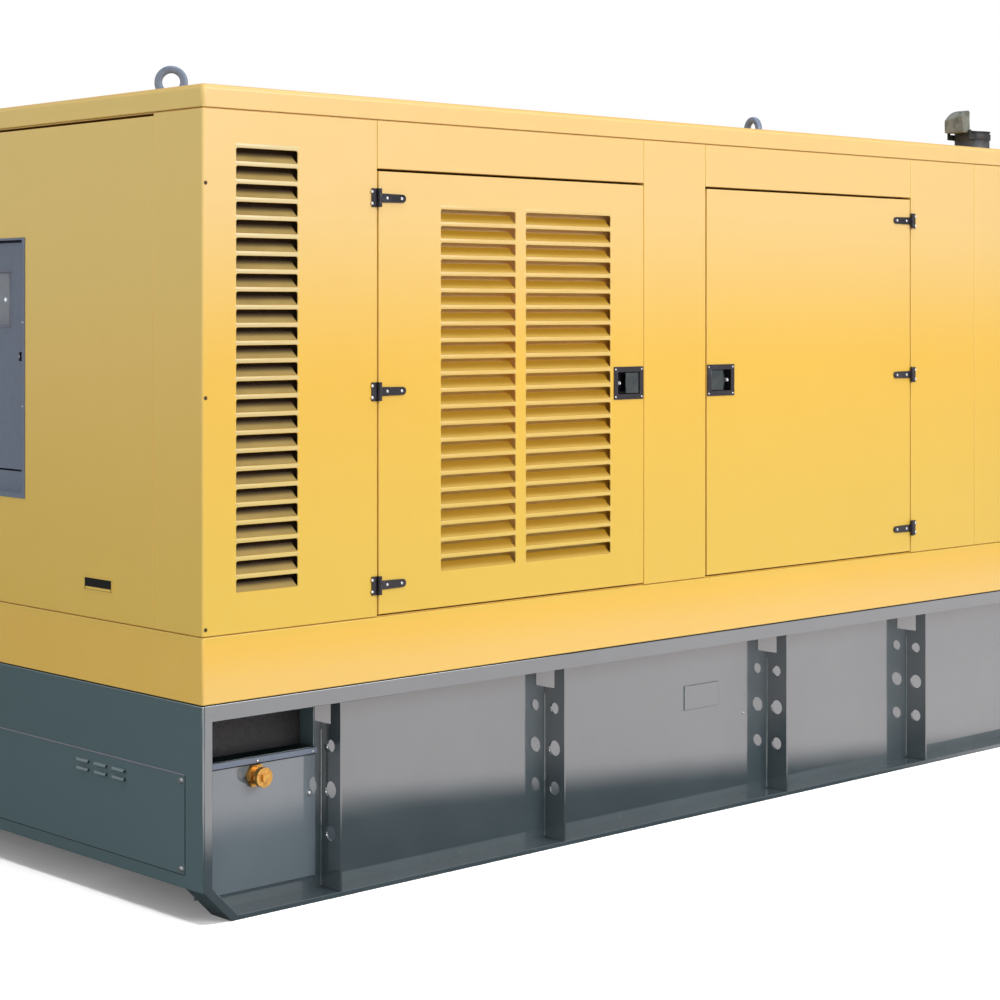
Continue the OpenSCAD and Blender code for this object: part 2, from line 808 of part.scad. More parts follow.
// A sheet box with a narrow frame on the end panel, a strip under the door and an
// instrument plate behind it.
module control_box() {
  wall = 4;
  flange = 3;
  overlap = 2;
  plate_x = control_inset + control_door_t + 34;
  inner_w = control[0] - 2 * control_rim;
  color(light_grey) at_control() {
    difference() {
      union() {
        translate([-flange, -overlap, -overlap])
          cube([flange, control[0] + 2 * overlap, control[1] + 2 * overlap]);
        cube([control_depth, control[0], control[1]]);
      }
      translate([-flange - seat, control_rim, control_rim])
        cube([control_inset + flange + seat, inner_w, control[1] - 2 * control_rim]);
      translate([0, control_rim, control_low()])
        cube([plate_x, inner_w, control_high() - control_low()]);
      translate([plate_x + wall, wall, wall])
        cube([control_depth - plate_x - 2 * wall, control[0] - 2 * wall, control[1] - 2 * wall]);
    }
    translate([control_inset, control[0] - control_rim - control_gap, control_low() - seat])
      cylinder(r = pin_r, h = control_high() - control_low() + 2 * seat);
  }
}

// The door turns on a pin at its far edge.
module control_door() {
  w = control[0] - 2 * control_rim - 2 * control_gap;
  h = control_high() - control_low() - 2 * control_gap;
  edge = control[0] - control_rim - control_gap;
  color(light_grey) at_control() difference() {
    union() {
      translate([control_inset, edge - w, control_low() + control_gap]) cube([control_door_t, w, h]);
      translate([control_inset, edge, control_low() + control_gap]) cylinder(r = 5.5, h = h);
    }
    translate([control_inset, edge, control_low()])
      cylinder(r = pin_r + pin_clear, h = control_high() - control_low());
    translate([control_inset - seat, window_margin[0], window_z])
      cube([control_door_t + 2 * seat, window_w(), window_h]);
  }
}

module control_window() {
  color([0.7, 0.8, 0.85, 0.5]) at_control()
    translate([control_inset + 3, window_margin[0], window_z]) cube([5, window_w(), window_h]);
}

module control_lock() {
  color(black) at_control()
    translate([control_inset, control_rim + control_gap + 22, latch_z - control_z + 100])
      rotate([0, -90, 0]) {
        cylinder(r = 13, h = 5);
        translate([-12, -5, 5]) cube([24, 10, 6]);
      }
}

// ---------- machinery ----------

machine_z = base_h + bed_h;
crank_z = machine_z + crank_h;
alternator_x = -half_l + alternator_from_end;
coupling_l = 40;
engine_x = alternator_x + alternator_l + coupling_l;
radiator_x = half_l - corner_w - radiator_gap;
// Stages of the engine above the machinery rails: the sump ends at sump_h, the wide
// block at shelf_h, and the heads stand head_h above it, under the rocker covers.
sump_h = 100;
shelf_h = sump_h + (engine[2] - sump_h) * 0.55;
head_h = (engine[2] - shelf_h) * 0.74;
block_w = engine[1] * 0.72;
head_w = engine[1] * 0.5;

// The two rails under the alternator and the engine, up to the fan's shroud.
module machinery_bed() {
  start = alternator_x - 100;
  color(black) both_sides()
    slab([radiator_x - shroud[1] - joint - start, bed_w, bed_h], [start, -bed_gauge / 2 - bed_w / 2, base_h]);
}

// Alternator with its coupling, terminal box and feet.
module alternator() {
  box_l = alternator_l * 0.6;
  box_h = 150;
  foot_l = alternator_l * 0.7;
  color("#3d5a6b") {
    translate([alternator_x, 0, crank_z]) {
      rotate([0, 90, 0]) cylinder(r = alternator_r, h = alternator_l);
      translate([alternator_l, 0, 0]) rotate([0, 90, 0]) cylinder(r = alternator_r * 0.85, h = coupling_l);
      slab([box_l, alternator_r * 1.8, box_h], [80, -alternator_r * 0.9, alternator_r - 60]);
    }
    both_sides() slab([foot_l, bed_w, crank_h],
                      [alternator_x + (alternator_l - foot_l) / 2, -bed_gauge / 2 - bed_w / 2, machine_z]);
  }
}

// Engine: sump, block, cylinder heads with rocker covers, fan hub and mounting feet.
module engine() {
  l = engine[0];
  cylinders = 6;
  cover_pitch = l * 0.94 / cylinders;
  cover_gap = 40;
  foot_l = 220;
  foot_t = 90;
  color("#8d959b") translate([engine_x, 0, machine_z]) {
    slab([l * 0.8, head_w, sump_h + seat], [l * 0.1, -head_w / 2, 0]);
    slab([l, block_w, shelf_h - sump_h], [0, -block_w / 2, sump_h]);
    slab([l * 0.94, head_w, head_h], [l * 0.03, -head_w / 2, shelf_h]);
    for (i = [0 : cylinders - 1])
      slab([cover_pitch - cover_gap, head_w * 0.72, engine[2] - shelf_h - head_h],
           [l * 0.03 + i * cover_pitch + cover_gap / 2, -head_w * 0.36, shelf_h + head_h]);
    translate([l, 0, crank_h]) rotate([0, 90, 0]) cylinder(r = 70, h = radiator_x - shroud[1] - engine_x - l - joint);
    both_sides() {
      slab([foot_l, bed_gauge / 2 + bed_w / 2 - block_w / 2, foot_t],
           [l * 0.35, -bed_gauge / 2 - bed_w / 2, sump_h + foot_t]);
      slab([foot_l, bed_w, sump_h + foot_t], [l * 0.35, -bed_gauge / 2 - bed_w / 2, 0]);
    }
  }
}

// Two air cleaners on saddles beside the cylinder heads.
module air_cleaners() {
  r = air_cleaner[0];
  l = air_cleaner[1];
  saddle_l = 80;
  color(black) both_sides() translate([engine_x + engine[0] * 0.2, 0, machine_z + shelf_h]) {
    translate([0, -head_w / 2 - r - joint, r]) rotate([0, 90, 0]) cylinder(r = r, h = l);
    for (x = [40, l - 40 - saddle_l]) slab([saddle_l, r, r], [x, -head_w / 2 - r, 0]);
  }
}

// Radiator core with the round shroud of its fan, centred on the crankshaft.
module radiator() {
  color("#4a4f54") {
    slab(radiator, [radiator_x, -radiator[1] / 2, base_h]);
    translate([radiator_x - shroud[1], 0, max(crank_z, base_h + shroud[0] + 20)])
      rotate([0, 90, 0]) cylinder(r = shroud[0], h = shroud[1]);
  }
}

side_rail();  // side_rail_near
mirror([0, 1, 0]) side_rail();  // side_rail_far
side_ribs();
end_plates();
deck();
fuel_tank();
duct_covers();
exit_covers();
drain_plug();
skirt_sides();
skirt_ends();
louvre_panels();  // louvre_panels_near
mirror([0, 1, 0]) louvre_panels();  // louvre_panels_far
end_posts();
door_headers();
side_posts();
side_panels();
control_end_panel();
radiator_end_panel();
roof();
lifting_eyes();
exhaust_pipe();
rain_cap_lid();
rain_cap_weight();
hinge_leaves();
intake_door();
intake_door_straps();
intake_latch();
intake_paddle();
service_door();
service_door_straps();
service_latch();
service_paddle();
far_intake_door();
far_service_door();
far_door_fittings();
control_box();
control_door();
control_window();
control_lock();
machinery_bed();
engine();
alternator();
radiator();
air_cleaners();
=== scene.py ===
"""Looks of a canopied generator set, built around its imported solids.

Lengths are metres in the solids' own frame: +X runs towards the radiator end, -Y is the
near side with the opening doors, +Z is up, and the origin is on the ground under the middle.
"""

import logging
import math
from collections.abc import Callable, Iterable, Sequence
from dataclasses import dataclass
from enum import Enum

import bmesh
import bpy
from mathutils import Matrix, Vector
from mathutils.geometry import tessellate_polygon


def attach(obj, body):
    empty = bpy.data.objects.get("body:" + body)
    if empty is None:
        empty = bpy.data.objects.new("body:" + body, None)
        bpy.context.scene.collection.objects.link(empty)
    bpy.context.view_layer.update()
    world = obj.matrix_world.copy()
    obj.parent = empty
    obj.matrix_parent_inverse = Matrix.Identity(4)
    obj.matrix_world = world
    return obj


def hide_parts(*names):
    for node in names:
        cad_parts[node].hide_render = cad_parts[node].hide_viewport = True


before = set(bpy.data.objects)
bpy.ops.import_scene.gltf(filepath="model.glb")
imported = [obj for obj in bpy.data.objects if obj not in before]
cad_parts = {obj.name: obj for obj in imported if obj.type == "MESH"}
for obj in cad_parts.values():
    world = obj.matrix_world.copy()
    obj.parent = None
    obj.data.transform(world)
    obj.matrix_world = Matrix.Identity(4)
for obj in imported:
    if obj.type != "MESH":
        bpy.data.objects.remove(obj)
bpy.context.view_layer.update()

LOG = logging.getLogger("generator_set")

# Half length and half width of the canopy, and the levels where its sheets start and end.
HALF_L = 2.9
HALF_W = 1.0
BASE_TOP = 0.64
WALL_FOOT = 0.84
WALL_TOP = 2.38
SHEET_LOW = WALL_FOOT + 0.0015
SIDE_HIGH = WALL_TOP - 0.003
END_HIGH = WALL_TOP - 0.011

# Thickness of a panel with its folded edge, the gap between two panels, and how far from the middle
# the upright seams of both end walls lie.
PANEL_T = 0.045
SEAM = 0.0018
END_SEAM = 0.75

# Angles between two faces, in radians: up to the first they are one flat, from there to the second
# they are part of a curve, over the third their edge is rounded, over the last it is shaded as an edge.
FLAT_ANGLE = 0.02
CURVE_ANGLE = 0.4
ROUNDED_ANGLE = 0.6
SHADED_ANGLE = 0.75

SIDES = (-1, 1)
HEXAGON = 6
Triple = tuple[float, float, float]
Socket = bpy.types.NodeSocket
Value = float | Socket
Colour = str | Socket


# ---------------------------------------------------------------- finishes


class Graph:
    """Short calls for the node tree of one material."""

    def __init__(self, name: str) -> None:
        """Starts an empty node tree.

        Args:
            name: Name of the material.
        """
        self.material = bpy.data.materials.new(name)
        self.material.use_nodes = True
        self.tree = self.material.node_tree
        self.tree.nodes.clear()
        self.output = self.node("OutputMaterial")
        self.place = self.node("TexCoord").outputs["Object"]

    def node(self, kind: str, inputs: dict | None = None, **settings: object) -> bpy.types.Node:
        """Adds a node.

        Args:
            kind: Blender's name of the node type, after "ShaderNode".
            inputs: Sockets or constants for its inputs, by name or number.
            settings: Values of the node's own properties.

        Returns:
            The new node.
        """
        made = self.tree.nodes.new("ShaderNode" + kind)
        for key, value in settings.items():
            setattr(made, key, value)
        for key, value in (inputs or {}).items():
            if isinstance(value, Socket):
                self.tree.links.new(value, made.inputs[key])
            else:
                made.inputs[key].default_value = value
        return made

    def noise(self, scale: float, detail: float = 3.0, stretch: Triple = (1, 1, 1)) -> Socket:
        """Returns a noise from 0 to 1 with so many lumps a metre, squeezed along each axis by stretch."""
        where = self.node("Mapping", {"Vector": self.place, "Scale": stretch}).outputs[0]
        return self.node("TexNoise", {"Vector": where, "Scale": scale, "Detail": detail}).outputs[0]

    def span(self, value: Socket, low: float, high: float, start: float = 0.0, end: float = 1.0) -> Socket:
        """Maps a value smoothly from low..high to start..end."""
        return self.node("MapRange", {0: value, 1: low, 2: high, 3: start, 4: end},
                         interpolation_type="SMOOTHSTEP").outputs[0]

    def times(self, first: Value, second: Value) -> Socket:
        """Returns the product of two values or sockets."""
        return self.node("Math", {0: first, 1: second}, operation="MULTIPLY").outputs[0]

    def mix(self, share: Value, low: Colour, high: Colour) -> Socket:
        """Mixes two colours, each a hex code or a socket, with that share of the second."""
        ends = [linear(c) if isinstance(c, str) else c for c in (low, high)]
        return self.node("Mix", {0: share, 6: ends[0], 7: ends[1]}, data_type="RGBA").outputs[2]

    def height(self) -> Socket:
        """Returns the height above the ground, in metres."""
        return self.node("SeparateXYZ", {0: self.place}).outputs[2]

    def facing(self, axis: int) -> Socket:
        """Measures how squarely a face looks along an axis of its piece, either way.

        Args:
            axis: Number of the axis.

        Returns:
            A socket with 1 on the faces square to the axis and 0 on those beside it.
        """
        normal = self.node("TexCoord").outputs["Normal"]
        part = self.node("SeparateXYZ", {0: normal}).outputs[axis]
        return self.node("Math", {0: part}, operation="ABSOLUTE").outputs[0]

    def depth(self) -> Socket:
        """Measures how far a point lies in from the nearest wall of the canopy.

        Returns:
            A socket with the depth, in metres.
        """
        place = self.node("SeparateXYZ", {0: self.place}).outputs
        depths = []
        for axis, half in ((0, HALF_L), (1, HALF_W)):
            size = self.node("Math", {0: place[axis]}, operation="ABSOLUTE").outputs[0]
            depths.append(self.node("Math", {0: half, 1: size}, operation="SUBTRACT").outputs[0])
        return self.node("Math", {0: depths[0], 1: depths[1]}, operation="MINIMUM").outputs[0]

    def bump(self, height: Socket, depth: float, below: Socket | None = None) -> Socket:
        """Bends the surface's normal by a height.

        Args:
            height: Height, from 0 to 1.
            depth: Depth of the relief, in metres.
            below: Normal of a coarser relief that this one lies on.

        Returns:
            The bent normal.
        """
        inputs = {"Strength": 1.0, "Distance": depth, "Height": height}
        if below is not None:
            inputs["Normal"] = below
        return self.node("Bump", inputs).outputs[0]

    def surface(self, inputs: dict) -> None:
        """Ends the tree in a principled shader with these inputs."""
        shader = self.node("BsdfPrincipled", inputs)
        self.tree.links.new(shader.outputs[0], self.output.inputs[0])


def linear(code: str) -> tuple[float, float, float, float]:
    """Turns a hex colour into the linear colour that a shader takes."""
    parts = [int(code[i : i + 2], 16) / 255 for i in (1, 3, 5)]
    return (*[p / 12.92 if p < 0.04045 else ((p + 0.055) / 1.055) ** 2.4 for p in parts], 1.0)


@dataclass(frozen=True)
class Finish:
    """A surface finish: its name, and the record's slot that it belongs to."""

    name: str
    slot: str

    def build(self, graph: Graph) -> None:
        """Fills in the node tree."""
        raise NotImplementedError

    def material(self) -> bpy.types.Material:
        """Finds the finish's material, or makes it on its first use.

        Returns:
            The material.
        """
        found = bpy.data.materials.get(self.name + "_finish")
        if found is None:
            graph = Graph(self.name + "_finish")
            self.build(graph)
            found = graph.material
        return found


@dataclass(frozen=True)
class PowderCoat(Finish):
    """Baked sheet-metal paint with a faint orange peel and slightly waving sheets. Its colour also carries painted
    light: a painted sheen near the top and hem of the side walls, a paler painted light on the ends, painted shade
    towards the walls' foot and a darker painted tone on level faces.
    """

    colour: str
    shade: str
    # Colour of the painted sheen near the top and the hem of the side walls.
    side_painted_sheen: str
    roughness: float = 0.36
    # Colour of the painted light on the ends: a paler tone on faces looking along X, stronger higher up.
    end_painted_light: str = "#ffe089"
    # Colour of the painted shade towards the walls' foot.
    low: str = "#e4c650"
    # Colour of the darker painted tone on level faces, painted shade against the strong light from above.
    top: str = "#d9ad58"

    def build(self, graph: Graph) -> None:
        """Fills in the node tree.

        Args:
            graph: Node tree of the material.
        """
        cloud = graph.span(graph.noise(0.8, 2), 0.35, 0.65)
        base = graph.mix(graph.times(cloud, 0.35), self.colour, self.shade)
        streak = graph.span(graph.noise(7, 4, (1, 1, 0.08)), 0.45, 0.8)
        base = graph.mix(graph.times(streak, 0.12), base, self.shade)
        # Painted shade: darker from 1.7 m down towards the walls' foot, but not on the skirt below 0.8 m.
        low = graph.span(graph.height(), 1.7, 0.95, 0.0, 0.5)
        base = graph.mix(graph.times(low, graph.span(graph.height(), 0.8, 0.86)), base, self.low)
        # Painted sheen: paler near the top and the hem of faces looking along Y.
        high = graph.span(graph.height(), 1.55, 2.2, 0.0, 0.8)
        hem = graph.span(graph.height(), 0.82, 0.66, 0.0, 0.35)
        both = graph.node("Math", {0: high, 1: hem}, operation="ADD").outputs[0]
        base = graph.mix(graph.times(both, graph.facing(1)), base, self.side_painted_sheen)
        # Painted light on the ends: paler on faces looking along X, more so higher up.
        tall = graph.span(graph.height(), 0.7, 2.45, 0.35, 0.9)
        base = graph.mix(graph.times(graph.facing(0), tall), base, self.end_painted_light)
        # Painted shade on level faces: a darker tone where the face looks up, and likewise down.
        base = graph.mix(graph.span(graph.facing(2), 0.2, 0.9, 0.0, 0.85), base, self.top)
        rough = graph.span(graph.noise(9, 5), 0.3, 0.7, self.roughness - 0.05, self.roughness + 0.06)
        wave = graph.bump(graph.noise(1.3, 1), 0.003)
        peel = graph.bump(graph.noise(420, 2), 0.00006, wave)
        graph.surface({"Base Color": base, "Roughness": rough, "Normal": peel, "Coat Weight": 0.25,
                       "Coat Roughness": 0.22, "IOR": 1.48})


@dataclass(frozen=True)
class BladePaint(Finish):
    """Paint of the pressed louvre blades, with painted shade that darkens them towards their inner edge, and faint
    dust all over.
    """

    colour: str
    # Colour of the painted shade deep in the slots.
    deep: str
    start: float
    end: float

    def build(self, graph: Graph) -> None:
        """Fills in the node tree.

        Args:
            graph: Node tree of the material.
        """
        cloud = graph.span(graph.noise(6, 4), 0.35, 0.7, 0.0, 0.2)
        dust = graph.span(graph.noise(90, 5, (1, 1, 3)), 0.5, 0.8, 0.0, 0.06)
        # Painted shade: the colour turns to the deep colour the farther in from the wall's face it lies.
        base = graph.mix(graph.span(graph.depth(), self.start, self.end), self.colour, self.deep)
        base = graph.mix(cloud, base, self.deep)
        base = graph.mix(dust, base, "#a08a62")
        rough = graph.span(graph.noise(30, 4), 0.3, 0.7, 0.45, 0.62)
        graph.surface({"Base Color": base, "Roughness": rough, "Normal": graph.bump(graph.noise(420, 2), 0.00006),
                       "Specular IOR Level": 0.2})


@dataclass(frozen=True)
class BasePaint(Finish):
    """Glossy enamel of the welded base, which mirrors its surroundings faintly."""

    colour: str = "#435259"
    worn: str = "#4d5c62"
    mirror: float = 2.3
    # Colour of the painted light on faces looking along X, the ends.
    ends: str = "#60797f"

    def build(self, graph: Graph) -> None:
        """Fills in the node tree.

        Args:
            graph: Node tree of the material.
        """
        cloud = graph.span(graph.noise(3.5, 4), 0.35, 0.65)
        base = graph.mix(graph.times(cloud, 0.6), self.colour, self.worn)
        # Painted light on the ends: faces looking along X take the paler ends colour.
        base = graph.mix(graph.facing(0), base, self.ends)
        dust = graph.span(graph.noise(38, 6), 0.58, 0.8)
        low = graph.span(graph.height(), 0.07, 0.0, 0.0, 0.25)
        base = graph.mix(graph.times(dust, low), base, "#8d8a80")
        rough = graph.span(graph.noise(22, 5), 0.3, 0.7, 0.03, 0.08)
        wave = graph.bump(graph.noise(2.2, 2), 0.0012)
        peel = graph.bump(graph.noise(300, 3), 0.00003, wave)
        graph.surface({"Base Color": base, "Roughness": 0.5, "Normal": peel, "Coat Weight": 1.0,
                       "Coat IOR": self.mirror, "Coat Roughness": rough, "Coat Normal": peel})


@dataclass(frozen=True)
class CoatedMetal(Finish):
    """Painted or blackened metal of a small fitting, worn a little towards another colour."""

    colour: str
    worn: str
    roughness: float = 0.35
    metallic: float = 0.0
    wear: float = 0.35
    grain: float = 160.0
    depth: float = 0.0001

    def build(self, graph: Graph) -> None:
        """Fills in the node tree.

        Args:
            graph: Node tree of the material.
        """
        patches = graph.span(graph.noise(self.grain / 8, 6), 0.48, 0.72)
        base = graph.mix(graph.times(patches, self.wear), self.colour, self.worn)
        rough = graph.span(graph.noise(self.grain / 5, 4), 0.3, 0.7, self.roughness - 0.06, self.roughness + 0.1)
        graph.surface({"Base Color": base, "Roughness": rough, "Metallic": self.metallic,
                       "Normal": graph.bump(graph.noise(self.grain, 4), self.depth)})


@dataclass(frozen=True)
class CastMetal(Finish):
    """Rough casting with pits, stains and a little rust."""

    colour: str
    stain: str
    rust: str
    rusting: float = 0.3

    def build(self, graph: Graph) -> None:
        """Fills in the node tree.

        Args:
            graph: Node tree of the material.
        """
        stain = graph.span(graph.noise(26, 6), 0.4, 0.68)
        base = graph.mix(stain, self.colour, self.stain)
        spots = graph.span(graph.noise(60, 8), 0.56, 0.7)
        base = graph.mix(graph.times(spots, self.rusting), base, self.rust)
        pits = graph.bump(graph.noise(130, 6), 0.0016)
        graph.surface({"Base Color": base, "Roughness": 0.82, "Normal": graph.bump(graph.noise(35, 3), 0.003, pits)})


@dataclass(frozen=True)
class BrightMetal(Finish):
    """Plated steel or brass with fine turning marks."""

    colour: str
    tarnish: str
    roughness: float = 0.28

    def build(self, graph: Graph) -> None:
        """Fills in the node tree.

        Args:
            graph: Node tree of the material.
        """
        dull = graph.span(graph.noise(70, 5), 0.4, 0.75, 0.0, 0.6)
        marks = graph.noise(500, 2, (1, 1, 6))
        rough = graph.span(graph.noise(90, 4), 0.3, 0.7, self.roughness - 0.08, self.roughness + 0.12)
        graph.surface({"Base Color": graph.mix(dull, self.colour, self.tarnish), "Metallic": 0.85,
                       "Roughness": rough, "Normal": graph.bump(marks, 0.00004)})


@dataclass(frozen=True)
class Foam(Finish):
    """Dark acoustic foam or rubber with open pores."""

    colour: str
    pore: str
    scale: float = 260.0
    depth: float = 0.0012

    def build(self, graph: Graph) -> None:
        """Fills in the node tree.

        Args:
            graph: Node tree of the material.
        """
        cells = graph.node("TexVoronoi", {"Vector": graph.place, "Scale": self.scale}).outputs[0]
        base = graph.mix(graph.span(cells, 0.1, 0.7), self.pore, self.colour)
        cloud = graph.span(graph.noise(6, 3), 0.35, 0.7, 0.0, 0.3)
        graph.surface({"Base Color": graph.mix(cloud, base, self.colour), "Roughness": 0.95,
                       "Normal": graph.bump(cells, self.depth)})


@dataclass(frozen=True)
class FinnedCore(Finish):
    """Radiator core: close upright tubes with fine fins between them."""

    def build(self, graph: Graph) -> None:
        """Fills in the node tree.

        Args:
            graph: Node tree of the material.
        """
        rows = {"Vector": graph.place, "Distortion": 0.0}
        tubes = graph.node("TexWave", rows | {"Scale": 30.0}, bands_direction="Y").outputs[1]
        fins = graph.node("TexWave", rows | {"Scale": 130.0}, bands_direction="Z").outputs[1]
        base = graph.mix(graph.span(tubes, 0.3, 0.7), "#15181a", graph.mix(fins, "#23282b", "#5a6165"))
        graph.surface({"Base Color": base, "Roughness": 0.55, "Metallic": 0.4,
                       "Normal": graph.bump(fins, 0.0015, graph.bump(tubes, 0.004))})


@dataclass(frozen=True)
class HeatedSteel(Finish):
    """Grey exhaust steel that is scorched and sooty towards its mouth."""

    mouth: float = 2.64

    def build(self, graph: Graph) -> None:
        """Fills in the node tree.

        Args:
            graph: Node tree of the material.
        """
        cloud = graph.span(graph.noise(18, 6), 0.35, 0.7)
        base = graph.mix(cloud, "#4a525c", "#646a72")
        rust = graph.span(graph.noise(45, 7), 0.55, 0.75, 0.0, 0.5)
        base = graph.mix(rust, base, "#6b4a36")
        soot = graph.span(graph.height(), self.mouth - 0.09, self.mouth, 0.0, 0.75)
        graph.surface({"Base Color": graph.mix(soot, base, "#2b2a2a"), "Roughness": 0.55, "Metallic": 0.45,
                       "Normal": graph.bump(graph.noise(150, 5), 0.0006)})


@dataclass(frozen=True)
class TintedPane(Finish):
    """Smoked polycarbonate of the control window."""

    def build(self, graph: Graph) -> None:
        """Fills in the node tree.

        Args:
            graph: Node tree of the material.
        """
        haze = graph.span(graph.noise(14, 4), 0.4, 0.75, 0.04, 0.12)
        colour = graph.mix(graph.span(graph.noise(9, 2), 0.4, 0.7), "#c3c9d2", "#b3bac6")
        graph.surface({"Base Color": colour, "Roughness": haze, "Transmission Weight": 0.55, "IOR": 1.45,
                       "Normal": graph.bump(graph.noise(3, 1), 0.0006)})


@dataclass(frozen=True)
class Glow(Finish):
    """A lit lamp or display with a slight unevenness."""

    colour: str = "#ffffff"
    strength: float = 1.0

    def build(self, graph: Graph) -> None:
        """Fills in the node tree.

        Args:
            graph: Node tree of the material.
        """
        tone = graph.mix(graph.span(graph.noise(240, 2), 0.3, 0.7, 0.0, 0.2), self.colour, "#9fb2b8")
        graph.surface({"Base Color": tone, "Emission Color": tone, "Emission Strength": self.strength,
                       "Roughness": 0.3})


class Paint(Enum):
    """Every finish that the set wears."""

    # Canopy paint; its last colour is the painted sheen near the top and hem of the side walls.
    YELLOW = PowderCoat("canopy_paint", "canopy_yellow", "#fbc950", "#f5c14a", "#fcd795")
    BASE = BasePaint("base_paint", "base_paint")
    COVER = BasePaint("cover_paint", "cover_grey", "#4e5e65", "#58686e", 1.9)
    EXIT = BasePaint("exit_cover_paint", "cover_grey", "#69767f", "#707d86", 1.9)
    # A darker copy of the base paint for the ribs, with darker ends too: painted shade on the ribs.
    RIB = BasePaint("rib_paint", "base_paint", "#404c52", "#49565b", 2.3, "#4b575c")
    TANK = BasePaint("tank_primer", "base_paint", "#9ba0a0", "#8a9090", 1.3)
    # A darker olive copy of the canopy paint for the blades: painted shade, which deepens farther into the slots.
    BLADE = BladePaint("louvre_paint", "canopy_yellow", "#bda161", "#33210a", 0.0116, 0.0199)
    # A paler copy of the canopy paint for the strips between the slots: painted highlight.
    LIP = PowderCoat("louvre_lip", "canopy_yellow", "#e5cc90", "#dfc382", "#efdba8", 0.34)
    # A darker copy of the canopy paint for the door's blades: painted shade, which deepens farther into the slots.
    DOOR_BLADE = BladePaint("door_louvre_paint", "canopy_yellow", "#e0b95c", "#b1820e", 0.0, 0.0194)
    # A paler copy of the canopy paint for the strips between the door's slots: painted highlight.
    DOOR_LIP = PowderCoat("door_louvre_lip", "canopy_yellow", "#efc76c", "#e9be62", "#f3d18c", 0.34)
    CONTROL = CoatedMetal("control_paint", "control_grey", "#7c8698", "#707b8d", 0.38, 0.0, 0.4, 300.0, 0.00005)
    # A paler copy of the control paint, put on rims, edges and folds as a painted highlight.
    RIM = CoatedMetal("control_rim", "control_grey", "#968f9c", "#86818f", 0.35, 0.0, 0.4, 300.0, 0.00005)
    BLACK = CoatedMetal("black_fittings", "black_fittings", "#25242b", "#4a4658", 0.3, 0.15, 0.5)
    PADDLE = CoatedMetal("paddle_plastic", "black_plastic", "#343d3f", "#454f50", 0.32, 0.0, 0.4, 400.0)
    PLASTIC = CoatedMetal("moulded_plastic", "black_plastic", "#1d1e21", "#2b2d31", 0.45, 0.0, 0.5, 500.0)
    EYE = CoatedMetal("eye_steel", "eye_steel", "#7f8da6", "#6a7590", 0.42, 0.2, 0.6, 220.0, 0.0004)
    ENGINE = CoatedMetal("engine_paint", "engine_grey", "#8d959b", "#737a80", 0.45, 0.1, 0.5, 180.0, 0.0006)
    ALTERNATOR = CoatedMetal("alternator_paint", "alternator_blue", "#3d5a6b", "#31485a", 0.42, 0.0, 0.4)
    RADIATOR = CoatedMetal("radiator_paint", "radiator_black", "#33373b", "#454a4e", 0.5, 0.0, 0.4)
    ZINC = BrightMetal("zinc_screws", "black_fittings", "#e6e7ea", "#b4b6bb")
    BRASS = BrightMetal("brass_plug", "brass_plug", "#dcab5c", "#b5833f", 0.3)
    WEIGHT = CastMetal("cast_weight", "cast_weight", "#858a86", "#666b68", "#6a665e", 0.15)
    EXHAUST = HeatedSteel("exhaust_steel", "exhaust_steel")
    FOAM = Foam("lining_foam", "black_plastic", "#222224", "#0d0d0e")
    # A brown copy of the lining foam for the baffles behind the louvres: painted shade with warm bounce light, as
    # the inside looks through the slots.
    BAFFLE = Foam("baffle_foam", "black_plastic", "#5a432b", "#382716")
    PLUG = CoatedMetal("plug_plastic", "black_plastic", "#4a3210", "#3a270c", 0.55, 0.0, 0.4, 400.0)
    RUBBER = Foam("seal_rubber", "black_plastic", "#1b1b1c", "#111112", 700.0, 0.0002)
    CORE = FinnedCore("radiator_core", "radiator_black")
    PANE = TintedPane("window_pane", "window_glass")
    LAMP = Glow("status_lamp", "window_glass", "#ffffff", 1.6)
    DISPLAY = Glow("display_glass", "window_glass", "#53707a", 0.25)


# ---------------------------------------------------------------- mesh building


